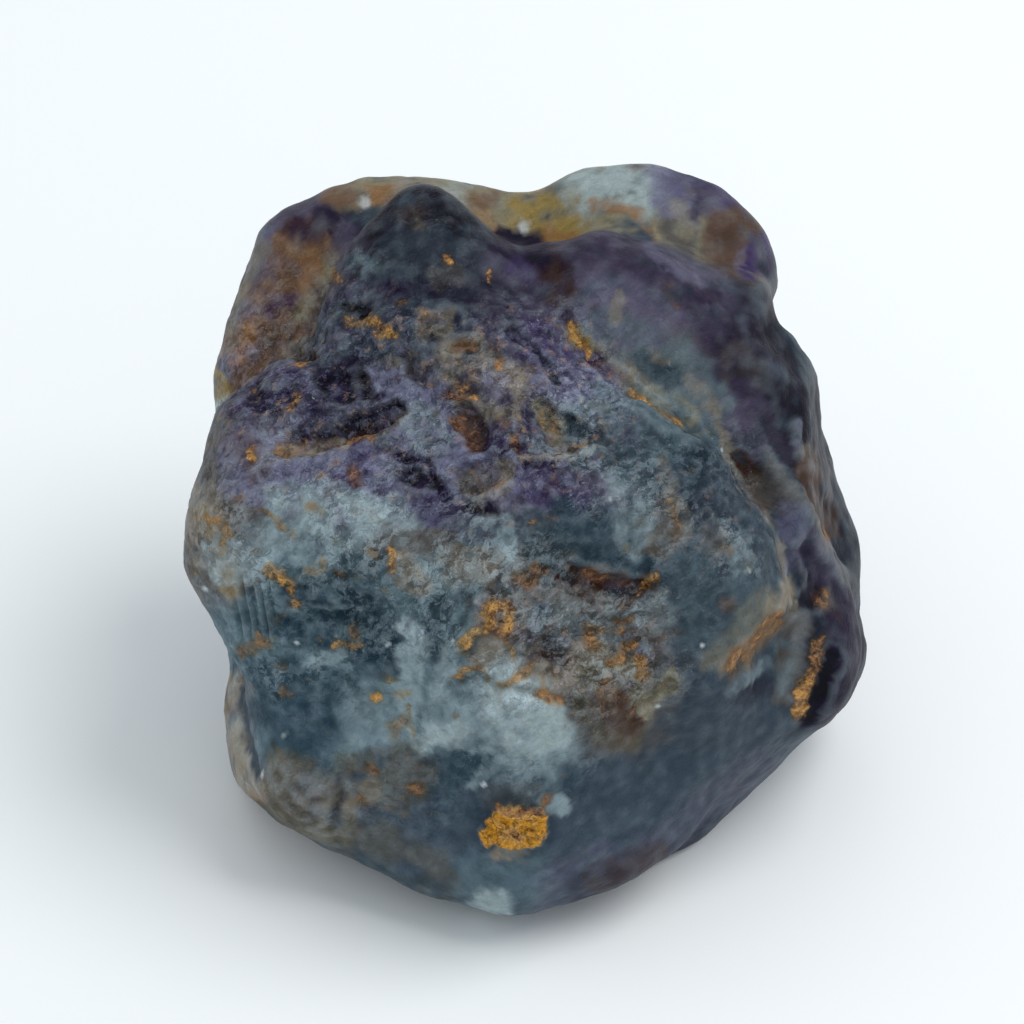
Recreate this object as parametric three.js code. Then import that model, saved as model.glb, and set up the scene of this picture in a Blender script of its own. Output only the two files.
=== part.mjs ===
// A rough fluorite nugget in millimetres, +Z up, standing on the flat cleavage face under it.
// The stone is one natural piece, so it is one solid: a back body and a front mass grown together,
// with rounded lobes, broken faces, ledges, hollows and cracks on them.
// It is laid out in a sketch frame that leans back: u runs right, v up the leaning plane and w out of
// it to the front. Every sketch length is a real length, measured from the middle of the stone.
import * as THREE from "three";
import { mergeVertices } from "three/addons/utils/BufferGeometryUtils.js";
import { ImprovedNoise } from "three/addons/math/ImprovedNoise.js";

// Driving dimensions
const LEAN = THREE.MathUtils.degToRad(40); // the sketch plane leans back this far from upright
const STAND_DEPTH = 15; // from the middle of the stone down to the face that it stands on
const STAND_ROUNDING = 0.8; // how far the edge of that face is rounded
const MESH_DETAIL = 21; // each side of the 20 starting triangles is cut into one more piece than this
const SHORTEST_RAY = 4;
const LONGEST_RAY = 30;
const HALVINGS = 30;

// The rim of the back body, which is also the widest outline of the stone: u, v
const BACK_RIM = [
  [4.5, 18.85], [7.25, 18.4], [9.4, 17.75], [11, 16.4], [12.05, 14.5], [12.3, 12.5], [12.5, 11],
  [13.75, 9.7], [14.4, 7.75], [14.5, 5.75], [15.2, 3.75], [15.9, 1.5], [16.5, -0.75],
  [16.1, -3.1], [16.9, -5.25], [16.6, -7.4], [15.5, -9], [13.65, -10.6], [11.5, -12.6],
  [9, -14.65], [6.5, -16.4], [3.75, -17.6], [1.25, -18.3], [-1.1, -18.9], [-3.75, -18.6],
  [-6, -17.8], [-8.75, -16.2], [-11.25, -14.5], [-13.15, -13.3], [-14.25, -12.3], [-14.9, -10.75],
  [-15.2, -8.5], [-14.95, -6.9], [-15.15, -5.25], [-16, -3.5], [-16.8, -1.6], [-16.9, 0.5],
  [-16.45, 3], [-15.85, 5], [-15.3, 6.75], [-15.65, 8], [-15.15, 9.5], [-14.65, 11.25],
  [-14.1, 13], [-13.35, 15], [-11.75, 16.6], [-9.75, 17.65], [-7.5, 18.3], [-4.75, 18.1],
  [-2.25, 17.65], [-0.75, 17.35], [1, 17.7], [2.75, 18.5],
];
// The rim of the front mass: it leaves the back body showing along the top, the right and the low left
const FRONT_RIM = [
  [-5, 17.5], [-3.5, 16.75], [-2, 15.4], [-0.25, 14.5], [1.5, 14.4], [2.5, 15.25], [4, 15.8],
  [5.75, 15.6], [7, 14.4], [8.75, 13.25], [10.5, 11.75], [12, 10.5], [13.5, 9.4], [14.3, 7.5],
  [14.2, 5.5], [14.15, 3.5], [14.65, 1.25], [15.35, -1], [16.1, -2.9], [16.8, -5.25],
  [16.5, -7.4], [15.4, -9], [13.55, -10.6], [11.4, -12.6], [8.9, -14.65], [6.4, -16.4],
  [3.75, -17.6], [1.25, -18.35], [-1.1, -18.95], [-3.75, -18.6], [-6, -17.8], [-8.75, -16.2],
  [-11.25, -14.5], [-13.15, -13.2], [-13.65, -11.75], [-13.85, -10], [-14.25, -8],
  [-14.65, -6.5], [-15.15, -5.25], [-16, -3.5], [-16.8, -1.6], [-16.9, 0.5], [-16.45, 3],
  [-15.85, 5], [-15.1, 6.1], [-13.5, 7.6], [-11.75, 8.9], [-11.1, 10], [-10.25, 11.75],
  [-9.6, 13.5], [-8.75, 15.1], [-7.5, 16.4], [-6.25, 17.3],
];

// The two bodies: w of the rim, how much wider the rim is than drawn, depth in front of and behind it,
// and how square the section is. The back rim is drawn as seen from the front, past the front mass.
const BACK_BODY = { rim: BACK_RIM, at: -6.2, widen: 1.02, front: 7.7, back: 11.3, square: 2.5 };
const FRONT_MASS = { rim: FRONT_RIM, at: 1, widen: 0.985, front: 13, back: 15, square: 2.3 };

// Broad broken faces: outward direction in u, v, w and distance from the middle. The first ones shape the
// front mass alone, before anything is grown onto it, and the others cut the whole stone.
const FRONT_FACES = [
  { name: "lower right", toward: [0.54, -0.432, 0.723], reach: 12 },
  { name: "lower left", toward: [-0.474, -0.427, 0.769], reach: 12 },
  { name: "upper left", toward: [-0.323, 0.365, 0.873], reach: 10.8 },
  { name: "right", toward: [0.536, -0.086, 0.84], reach: 9.8 },
  { name: "upper right", toward: [0.42, 0.5, 0.757], reach: 10.4 },
];
const STONE_FACES = [
  { name: "back left", toward: [-0.5, 0.15, -0.85], reach: 15.4 },
  { name: "back right", toward: [0.5, 0.3, -0.81], reach: 16.2 },
  { name: "back middle", toward: [-0.05, 0.62, -0.78], reach: 16.9 },
  { name: "low back", toward: [0.2, -0.28, -0.94], reach: 15.8 },
];
const FRONT_ROUNDING = 2;
const STONE_ROUNDING = 2.4;
const BODY_ROUNDING = 0.9;

// Lobes that stand out of the bodies: middle and half sizes along u, v, w, how softly each one joins,
// and how square it is: 2 is an ellipsoid, less is pointed and more is boxy
const LOBES = [
  { name: "right front bulge", at: [3.7, -2, 2.8], half: [8.8, 8.3, 7.6], joins: 3, square: 2.3 },
  { name: "peak", at: [-4.9, 10.4, 1.2], half: [5.2, 5.3, 5.4], joins: 1.4, square: 1.6 },
  { name: "top bump", at: [4, 11.8, 1.2], half: [4.4, 2.9, 4], joins: 1.8, square: 2.2 },
  { name: "right shoulder", at: [7.3, 8, 0.4], half: [6.2, 4.3, 4.4], joins: 3, square: 2.2 },
  { name: "right crest", at: [13, 0.2, 0.8], half: [2.1, 5.6, 4], joins: 0.9, square: 2.2 },
  { name: "right edge", at: [13, 0.6, -3.2], half: [2.3, 5.2, 4.6], joins: 1.2, square: 2.4 },
  { name: "low right knob", at: [12.9, -6, -0.8], half: [3.6, 3.6, 4.2], joins: 1, square: 2.2 },
  { name: "low left boulder", at: [-10.2, -12.6, -0.4], half: [3.5, 2.7, 3.9], joins: 1.6, square: 2.2 },
  { name: "left shoulder", at: [-11, 1, 1.2], half: [4.2, 5.8, 4.8], joins: 2.8, square: 2.2 },
  { name: "top right knob", at: [6.8, 12.8, -7], half: [5.3, 5.6, 5], joins: 1.2, square: 2.4 },
  { name: "top left slab", at: [-9.2, 12, -6.4], half: [4.8, 5.2, 4.4], joins: 1.2, square: 2.6 },
  { name: "low left flap", at: [-12.2, -9.6, -3.6], half: [2.9, 4, 3], joins: 0.8, square: 2.4 },
  { name: "back hump", at: [-4.4, 2, -9.5], half: [8.6, 8.6, 7.4], joins: 2.4, square: 2.2 },
  { name: "back knob", at: [7.2, 1, -9], half: [6.6, 7.2, 6.8], joins: 1.8, square: 2.2 },
];

// Ledges: the side on the right of the line, walking along it, lies lower by drop and rises again over fade
const LEDGES = [
  {
    name: "edge of the front bulge",
    line: [[3.4, 9.7], [5.8, 7.6], [8.3, 6], [9.8, 4.5], [11.3, 2.5], [12.6, 0.2],
      [13.1, -2], [12.7, -4], [11.2, -5.6], [9.4, -6.5]],
    drop: -1.4,
    fade: 2.8,
  },
];
const LEDGE_WIDTH = 1.5;
const LEDGE_TAPER = 2.5; // how far from its ends a ledge reaches its full drop

// Hollows: middle, half length, half width, depth and turn of the long side from u, in degrees
const HOLLOWS = [
  { name: "long brown pit", at: [-9.9, 5.4], half: [3.4, 1.3], depth: 1, turn: 12 },
  { name: "dark pocket", at: [-8.6, 7.9], half: [2.5, 1.3], depth: 0.7, turn: -8 },
  { name: "rim hole", at: [-10.9, 9.3], half: [1.3, 1.1], depth: 0.7, turn: 0 },
  { name: "first brown bowl", at: [-2.6, 5.8], half: [1.5, 1.7], depth: 0.8, turn: 30 },
  { name: "second brown bowl", at: [1.2, 5.4], half: [2.3, 1.5], depth: 0.8, turn: -25 },
  { name: "lavender bowl", at: [-2.5, 2.7], half: [1.9, 1.5], depth: 0.7, turn: 20 },
  { name: "stained hollow", at: [3.2, -4.7], half: [5.4, 2.6], depth: 1.1, turn: 12 },
  { name: "saddle below the top", at: [-0.4, 13], half: [2.2, 1.7], depth: 1, turn: -10 },
  { name: "step under the peak", at: [-4.6, 12.4], half: [4.4, 1], depth: 0.5, turn: 4 },
  { name: "ochre pocket", at: [-0.5, -14.3], half: [1.5, 1], depth: 0.5, turn: 0 },
  { name: "left hollow", at: [-9.4, -3.7], half: [3.4, 1.5], depth: 0.3, turn: 6 },
];

// Cracks and creases: width is from the middle of the crease to where it has faded
const CREASES = [
  { name: "right crevice", line: [[14.5, -4.6], [14.2, -6.9], [13.6, -9]], depth: 1.1, width: 1.4 },
  { name: "behind the bulge", line: [[10.6, 4.4], [12, 2.6], [13.4, 0.4], [14, -2.4]], depth: 0.8, width: 1.4 },
  { name: "boulder crack", line: [[-9.2, -11.6], [-9, -13.4], [-9.9, -14.8]], depth: 0.5, width: 1.2 },
  { name: "shoulder crease", line: [[9.9, 12], [10.6, 9.2], [11, 6.4]], depth: 0.4, width: 1.4 },
];

// Worn roughness: scale is the size of its lumps and height how far they stand out
const ROUGHNESS = [
  { scale: 6.5, height: 0.5 },
  { scale: 3.1, height: 0.4 },
  { scale: 1.7, height: 0.16 },
];
const SIDE_SCALLOPS = { scale: 4.6, height: 1.1 }; // rounded hollows on the sides and the back

const noise = new ImprovedNoise();

// Smooth versions of max and min: two surfaces meet with a rounding of this width
function smoothMax(a, b, width) {
  const h = Math.max(width - Math.abs(a - b), 0) / width;
  return Math.max(a, b) + (h * h * width) / 4;
}
function smoothMin(a, b, width) {
  return -smoothMax(-a, -b, width);
}

// The distance from the middle to a closed rim at each angle, curved smoothly through its points
function rimRadius(points) {
  const polar = points
    .map(([u, v]) => ({ angle: Math.atan2(v, u), radius: Math.hypot(u, v) }))
    .sort((a, b) => a.angle - b.angle);
  const count = polar.length;
  const knot = (i) => {
    const turns = Math.floor(i / count);
    const p = polar[i - turns * count];
    return { angle: p.angle + turns * 2 * Math.PI, radius: p.radius };
  };
  const slope = (i) => {
    const before = knot(i - 1);
    const after = knot(i + 1);
    return (after.radius - before.radius) / (after.angle - before.angle);
  };
  return (angle) => {
    let i = polar.findIndex((p) => p.angle > angle) - 1;
    if (i === -2) i = count - 1; // past the last point
    const a = knot(i);
    const b = knot(i + 1);
    const step = b.angle - a.angle;
    const t = (angle - a.angle) / step;
    return (
      a.radius * (1 + 2 * t) * (1 - t) ** 2 +
      slope(i) * step * t * (1 - t) ** 2 +
      b.radius * t * t * (3 - 2 * t) +
      slope(i + 1) * step * t * t * (t - 1)
    );
  };
}
for (const body of [BACK_BODY, FRONT_MASS]) body.radius = rimRadius(body.rim);

// Signed distances, negative inside
function bodyField(body, p) {
  const across = Math.hypot(p.x, p.y) / (body.widen * body.radius(Math.atan2(p.y, p.x)));
  const deep = p.z - body.at;
  const along = Math.abs(deep) / (deep > 0 ? body.front : body.back);
  const share = (across ** body.square + along ** body.square) ** (1 / body.square);
  return (share - 1) * body.front;
}
function lobeField(lobe, p) {
  const [a, b, c] = lobe.half;
  const sum =
    Math.abs((p.x - lobe.at[0]) / a) ** lobe.square +
    Math.abs((p.y - lobe.at[1]) / b) ** lobe.square +
    Math.abs((p.z - lobe.at[2]) / c) ** lobe.square;
  return (sum ** (1 / lobe.square) - 1) * Math.min(a, b, c);
}
function faceField(face, p) {
  const [a, b, c] = face.toward;
  return (a * p.x + b * p.y + c * p.z) / Math.hypot(a, b, c) - face.reach;
}
function stoneField(p) {
  let front = bodyField(FRONT_MASS, p);
  for (const face of FRONT_FACES) front = smoothMax(front, faceField(face, p), FRONT_ROUNDING);
  let stone = smoothMin(front, bodyField(BACK_BODY, p), BODY_ROUNDING);
  for (const lobe of LOBES) stone = smoothMin(stone, lobeField(lobe, p), lobe.joins);
  for (const face of STONE_FACES) stone = smoothMax(stone, faceField(face, p), STONE_ROUNDING);
  return stone;
}

// The nearest point of a line of points: its distance, on which side of the line u, v lies, and how far
// along the line it is from the nearer end
function nearLine(line, u, v) {
  let best = { distance: Infinity, side: 1, along: 0 };
  let walked = 0;
  for (let i = 0; i + 1 < line.length; i++) {
    const [au, av] = line[i];
    const du = line[i + 1][0] - au;
    const dv = line[i + 1][1] - av;
    const t = THREE.MathUtils.clamp(((u - au) * du + (v - av) * dv) / (du * du + dv * dv), 0, 1);
    const distance = Math.hypot(u - au - t * du, v - av - t * dv);
    const length = Math.hypot(du, dv);
    if (distance < best.distance) {
      best = { distance, side: Math.sign(du * (v - av) - dv * (u - au)) || 1, along: walked + t * length };
    }
    walked += length;
  }
  return { distance: best.distance, side: best.side, fromEnd: Math.min(best.along, walked - best.along) };
}

// How far the surface stands out of the smooth stone at a point of it: relief of the front only
function frontRelief(p) {
  let out = 0;
  for (const ledge of LEDGES) {
    const { distance, side, fromEnd } = nearLine(ledge.line, p.x, p.y);
    const taper = THREE.MathUtils.smoothstep(fromEnd, 0, LEDGE_TAPER);
    const low = THREE.MathUtils.smoothstep(side * distance, -LEDGE_WIDTH, LEDGE_WIDTH);
    const lowered = ledge.drop > 0 ? 1 - low : low;
    out -= Math.abs(ledge.drop) * taper * lowered * Math.exp(-distance / ledge.fade);
  }
  for (const hollow of HOLLOWS) {
    const turn = THREE.MathUtils.degToRad(hollow.turn);
    const u = p.x - hollow.at[0];
    const v = p.y - hollow.at[1];
    const along = (u * Math.cos(turn) + v * Math.sin(turn)) / hollow.half[0];
    const across = (v * Math.cos(turn) - u * Math.sin(turn)) / hollow.half[1];
    out -= hollow.depth * (1 - THREE.MathUtils.smoothstep(Math.hypot(along, across), 0.2, 1.15));
  }
  for (const crease of CREASES) {
    const { distance } = nearLine(crease.line, p.x, p.y);
    out -= crease.depth * Math.max(0, 1 - distance / crease.width) ** 1.5;
  }
  return out;
}
function roughness(p) {
  let out = 0;
  ROUGHNESS.forEach(({ scale, height }, layer) => {
    out += height * noise.noise(p.x / scale + 7 * layer, p.y / scale, p.z / scale);
  });
  return out;
}
function scallops(p) {
  const { scale, height } = SIDE_SCALLOPS;
  const n = noise.noise(p.x / scale + 31, p.y / scale + 17, p.z / scale);
  return -height * Math.max(0, 0.35 - Math.abs(n)) ** 1.5;
}

// A depth below the middle, held at the standing face with a rounded edge
function settled(sink) {
  const left = Math.max(0, STAND_DEPTH + STAND_ROUNDING - sink);
  return STAND_DEPTH - (left * left) / (4 * STAND_ROUNDING);
}

// The surface point of the stone along a direction, in the sketch frame
const down = new THREE.Vector3(0, -Math.cos(LEAN), -Math.sin(LEAN));
function surfacePoint(direction) {
  let inside = SHORTEST_RAY;
  let outside = LONGEST_RAY;
  const p = new THREE.Vector3();
  for (let i = 0; i < HALVINGS; i++) {
    const middle = (inside + outside) / 2;
    if (stoneField(p.copy(direction).multiplyScalar(middle)) < 0) inside = middle;
    else outside = middle;
  }
  p.copy(direction).multiplyScalar(inside);
  const onFront = THREE.MathUtils.smoothstep(p.z, -1, 2);
  const out = roughness(p) + onFront * frontRelief(p) + (1 - onFront) * scallops(p);
  p.setLength(p.length() + out);
  const sink = p.dot(down);
  if (sink > STAND_DEPTH - STAND_ROUNDING) p.multiplyScalar(settled(sink) / sink);
  return p;
}

function nuggetGeometry() {
  const sphere = new THREE.IcosahedronGeometry(1, MESH_DETAIL);
  sphere.deleteAttribute("normal");
  sphere.deleteAttribute("uv");
  const geometry = mergeVertices(sphere, 1e-5);
  const position = geometry.getAttribute("position");
  const direction = new THREE.Vector3();
  for (let i = 0; i < position.count; i++) {
    direction.fromBufferAttribute(position, i).normalize();
    const p = surfacePoint(direction);
    position.setXYZ(i, p.x, p.y, p.z);
  }
  // Stand the sketch frame up: w faces the front, which is -Y, and the lean tips it to the sky
  geometry.rotateX(Math.PI / 2 - LEAN);
  geometry.computeBoundingBox();
  const { min, max } = geometry.boundingBox;
  geometry.translate(-(min.x + max.x) / 2, -(min.y + max.y) / 2, STAND_DEPTH);
  geometry.computeVertexNormals();
  return geometry;
}

const fluorite = new THREE.MeshStandardMaterial({ color: 0x4a5560, roughness: 0.5, metalness: 0 });
const nugget = new THREE.Mesh(nuggetGeometry(), fluorite);
nugget.name = "fluorite_nugget";

const part = new THREE.Group();
part.add(nugget);
export default part;
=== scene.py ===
import bpy
import numpy as np
from mathutils import Matrix, Vector, noise


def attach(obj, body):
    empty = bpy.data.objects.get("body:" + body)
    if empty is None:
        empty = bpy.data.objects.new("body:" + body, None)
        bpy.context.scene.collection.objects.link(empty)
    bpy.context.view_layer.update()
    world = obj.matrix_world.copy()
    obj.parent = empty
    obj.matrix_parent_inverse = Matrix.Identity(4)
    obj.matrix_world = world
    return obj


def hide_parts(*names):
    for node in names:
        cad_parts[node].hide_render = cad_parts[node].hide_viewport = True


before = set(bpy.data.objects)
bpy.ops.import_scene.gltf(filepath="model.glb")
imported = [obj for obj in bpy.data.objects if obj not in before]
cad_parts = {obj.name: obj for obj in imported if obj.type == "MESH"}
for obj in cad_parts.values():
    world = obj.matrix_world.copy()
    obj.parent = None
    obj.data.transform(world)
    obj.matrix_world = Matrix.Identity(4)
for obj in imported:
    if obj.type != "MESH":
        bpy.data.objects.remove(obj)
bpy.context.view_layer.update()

MM = 0.001
NODE = "fluorite_nugget"

# The view of the photograph: 1024 pixels square, from in front and 40 degrees above
IMAGE = 1024
ELEVATION = np.radians(40)
DISTANCE = 300 * MM
PIXEL = 0.05 * MM  # size of a pixel at the middle of the stone
SENSOR = 36 * MM
STONE_PIXELS = {"left": 187, "top": 163, "right": 863, "bottom": 919}
# The photograph starts to show the surface, and shows it fully, where it faces the view this much, -1 to 1
SHOWN = (-0.45, -0.1)
# The same for what it shows without slant, where the painted glints are
SHOWN_SQUARELY = (0.3, 0.5)

# Directions of the view: to the right, up the image and out of it
RIGHT = np.array([1.0, 0.0, 0.0])
UP = np.array([0.0, np.sin(ELEVATION), np.cos(ELEVATION)])
OUT = np.array([0.0, -np.cos(ELEVATION), np.sin(ELEVATION)])

# Streaks of the broken cleavage run up to the right in the view
STREAK_ANGLE = np.radians(32)
STREAK_ALONG = np.cos(STREAK_ANGLE) * RIGHT + np.sin(STREAK_ANGLE) * UP
STREAK_ACROSS = -np.sin(STREAK_ANGLE) * RIGHT + np.cos(STREAK_ANGLE) * UP

# The light that a broad face lies in, as a share of full light: away from the softbox, toward it, and the
# middling light that the colours of the material itself are worked out for
DIM = 0.64
BRIGHT = 1.15
MIDDLING_LIGHT = 0.9
# The light that the surface itself throws back, which lies over every colour
SHEEN = np.array([0.016, 0.018, 0.021])

FLOOR_HALF = 3.0  # metres
SKY = {"colour": (0.93, 0.97, 1.0), "strength": 0.74}
SOFTBOX = {"place": (0.24, -0.02, 0.42), "size": 0.32, "watts": 1.12, "colour": (1.0, 0.985, 0.965)}

# The mesh: points nearer than this are one, and so many rounds of smoothing
SAME_POINT = 0.002 * MM
SMOOTHING_ROUNDS = 6
FULL_HOLLOW = 0.01 * MM  # depth of a full hollow for each ring of points that it is measured over
FOOT_HEIGHT = 1.2 * MM  # below it the relief fades out, so that the foot stays flat

# Marks waver in clouds of three sizes, by so many pixels: narrow marks, and marks of BROAD_MARK's half width
CLOUD_SIZES = {"fine": 0.5 * MM, "middling": 1.3 * MM, "broad": 3.2 * MM}
NARROW_WAVER = {"fine": 3, "middling": 4}
BROAD_WAVER = {"fine": 4, "middling": 11, "broad": 16}
BROAD_MARK = 40
# Patches tear the rims of all tones
PATCHINESS = 1.3
PATCH_SIZE = 1.1 * MM
PATCH_SEEDS = (17.0, 29.0, 43.0)

# Heights in mm: lumps, grain, the hollows and streaks of broken places, and the crust with its own grain
LUMP_HEIGHT = 0.12
GRAIN_HEIGHT = 0.07
VUG_HEIGHT = 0.13
STREAK_HEIGHT = 0.1
STREAK_SIZE = (0.9 * MM, 0.42 * MM, 0.8 * MM)  # along, across and out
CRUST_HEIGHT = 0.25
CRUST_GRAIN = 0.2

# Uneven tone: cloudy blotches, pale edges that are partly worn and partly a painted highlight, and painted
# shade in the hollows
BLOTCHES = 0.2
EDGE_WEAR_AND_HIGHLIGHT = 0.12
HOLLOW_SHADE = 0.22

# The material's finest grain, and how strongly fluorite bends light
FACET_SIZE = (0.8 * MM, 0.36 * MM, 0.5 * MM)  # along the streaks, across and out
BUMP_DEPTH = 0.18 * MM
FLUORITE_IOR = 1.434


def linear(red, green, blue):
    """A colour as seen, 0 to 255, as linear light."""
    seen = np.array([red, green, blue]) / 255
    return np.where(seen <= 0.04045, seen / 12.92, ((seen + 0.055) / 1.055) ** 2.4)


def own(seen, light=MIDDLING_LIGHT):
    """The stone's own colour that looks like the seen one in so much light, under the sheen."""
    return np.clip((seen - SHEEN) / light, 0.003, 0.9)


def smooth(value, low, high):
    """0 below low, 1 above high and smooth between them."""
    t = np.clip((value - low) / (high - low), 0, 1)
    return t * t * (3 - 2 * t)


# The stone's colours as they look in the soft light
TEAL = linear(82, 100, 108)
DEEP_TEAL = linear(46, 61, 72)
SLATE = linear(60, 71, 82)
DARK_SLATE = linear(49, 53, 64)
NIGHT = linear(38, 38, 49)
PALE = linear(124, 140, 146)
ICE = linear(146, 160, 162)
# the pale colour of frost, also used for painted highlights and glints
FROST_AND_HIGHLIGHT = linear(166, 182, 190)
LAVENDER = linear(103, 104, 128)
MAUVE = linear(81, 78, 96)
VIOLET = linear(64, 56, 90)
DARK_VIOLET = linear(40, 34, 54)
SHADOW = linear(26, 22, 28)
OLIVE = linear(126, 122, 104)
KHAKI = linear(82, 80, 72)
STRAW = linear(136, 119, 76)
SAND = linear(126, 118, 106)
TAUPE = linear(86, 84, 83)
UMBER = linear(62, 50, 47)
BROWN = linear(86, 72, 67)
RUSTY = linear(104, 83, 70)
COPPER = linear(132, 99, 68)
# the colour of the painted glints, not of the stone itself
GLINT = linear(206, 216, 220)
TAN = linear(146, 120, 104)
# Iron stains low in the grain and high on it, their rims, and the tint of their halos
RED_IRON = (linear(74, 50, 42), linear(130, 96, 76))
GOLD_IRON = (linear(106, 78, 48), linear(186, 142, 84))
OCHRE = (linear(128, 84, 34), linear(190, 136, 58))
IRON_RIM = linear(74, 50, 40)
HALO = (1.0, 0.68, 0.4)
FLOOR_COLOUR = linear(243, 247, 249)

# Tones of the body behind: colour, how much of it, half width and the photograph's pixels along the stroke
REAR_TONES = [
    # left
    (TAUPE, 1.0, 70, [(250, 250), (235, 320), (230, 385)]),
    (DARK_SLATE, 0.6, 22, [(240, 250), (230, 310), (224, 350)]),
    (MAUVE, 1.0, 24, [(262, 268), (250, 300), (240, 345)]),
    (MAUVE, 0.9, 16, [(262, 238), (290, 212), (325, 192)]),
    (LAVENDER, 0.9, 9, [(272, 242), (282, 232)]),
    (RUSTY, 1.0, 26, [(305, 248), (300, 285), (282, 322), (262, 352)]),
    (COPPER, 0.4, 9, [(298, 246), (312, 262), (308, 300)]),
    (DARK_VIOLET, 0.8, 14, [(302, 228), (320, 218), (348, 222)]),
    (MAUVE, 0.7, 10, [(345, 232), (338, 255)]),
    (LAVENDER, 0.35, 6, [(256, 275), (284, 262)]),
    (LAVENDER, 0.35, 6, [(252, 310), (278, 298)]),
    (VIOLET, 0.6, 7, [(270, 310), (292, 298)]),
    (RUSTY, 0.9, 8, [(254, 294), (268, 284)]),
    (RUSTY, 0.9, 10, [(232, 346), (260, 330), (280, 322)]),
    (COPPER, 0.9, 5, [(252, 332), (246, 344)]),
    (COPPER, 0.9, 5, [(244, 352), (240, 362)]),
    (LAVENDER, 0.4, 9, [(230, 368), (252, 356)]),
    (RUSTY, 0.9, 8, [(238, 386), (264, 372)]),
    (OLIVE, 0.5, 7, [(224, 350), (236, 302), (262, 244)]),
    (STRAW, 0.9, 7, [(215, 370), (221, 398), (236, 410)]),
    (OLIVE, 0.7, 6, [(330, 255), (322, 288), (298, 316)]),
    (OLIVE, 0.7, 6, [(300, 345), (270, 372)]),
    (ICE, 0.9, 12, [(222, 414), (214, 440)]),
    # top, left of the peak and right of it
    (OLIVE, 1.0, 22, [(350, 180), (400, 180), (445, 182), (480, 192)]),
    (RUSTY, 0.9, 9, [(330, 192), (350, 196)]),
    (COPPER, 0.9, 10, [(372, 198), (392, 194)]),
    (SAND, 0.8, 8, [(400, 182), (425, 184)]),
    (SAND, 0.8, 12, [(455, 198), (474, 206)]),
    (ICE, 0.4, 13, [(458, 190), (488, 198)]),
    (OLIVE, 1.0, 26, [(500, 205), (560, 205), (600, 212)]),
    (RUSTY, 0.9, 9, [(480, 196), (490, 198)]),
    (COPPER, 0.5, 7, [(480, 215), (492, 226)]),
    (STRAW, 1.0, 19, [(530, 210), (550, 222), (562, 234)]),
    (COPPER, 0.8, 9, [(552, 242), (570, 240)]),
    # top right
    # the pale top right knob: partly pale stone, partly a painted glow of light through it
    (ICE, 1.0, 26, [(592, 184), (640, 184)]),
    (ICE, 0.9, 12, [(620, 196), (650, 200)]),
    (RUSTY, 0.5, 6, [(625, 168), (655, 172)]),
    (COPPER, 0.8, 5, [(592, 208), (618, 209), (640, 212), (652, 228), (658, 242)]),
    (OLIVE, 0.9, 12, [(662, 222), (672, 255)]),
    (TAUPE, 1.0, 30, [(690, 205), (700, 245), (715, 275)]),
    (LAVENDER, 0.9, 22, [(672, 184), (700, 194)]),
    (VIOLET, 0.4, 9, [(668, 182), (680, 184)]),
    (OLIVE, 0.5, 8, [(684, 205), (684, 230)]),
    (DARK_VIOLET, 0.8, 6, [(701, 194), (698, 216)]),
    (OLIVE, 0.7, 9, [(708, 225), (705, 262)]),
    (MAUVE, 0.9, 14, [(715, 198), (728, 216)]),
    (VIOLET, 0.7, 8, [(706, 184), (728, 200)]),
    (BROWN, 1.0, 20, [(726, 236), (745, 244)]),
    (UMBER, 0.3, 9, [(725, 240), (742, 238)]),
    (BROWN, 1.0, 20, [(738, 290), (750, 312)]),
    (RUSTY, 0.8, 12, [(728, 288), (745, 308)]),
    (BROWN, 0.9, 15, [(726, 262), (734, 284)]),
    (LAVENDER, 0.5, 7, [(744, 258), (746, 270)]),
    (VIOLET, 1.0, 10, [(755, 248), (756, 272)]),
    (DARK_SLATE, 0.8, 9, [(768, 262), (770, 300), (774, 322)]),
    # the gap between the peak and the shoulder, darkened with painted shade
    (DARK_VIOLET, 1.0, 9, [(500, 239), (518, 243), (536, 248)]),
]

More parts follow.
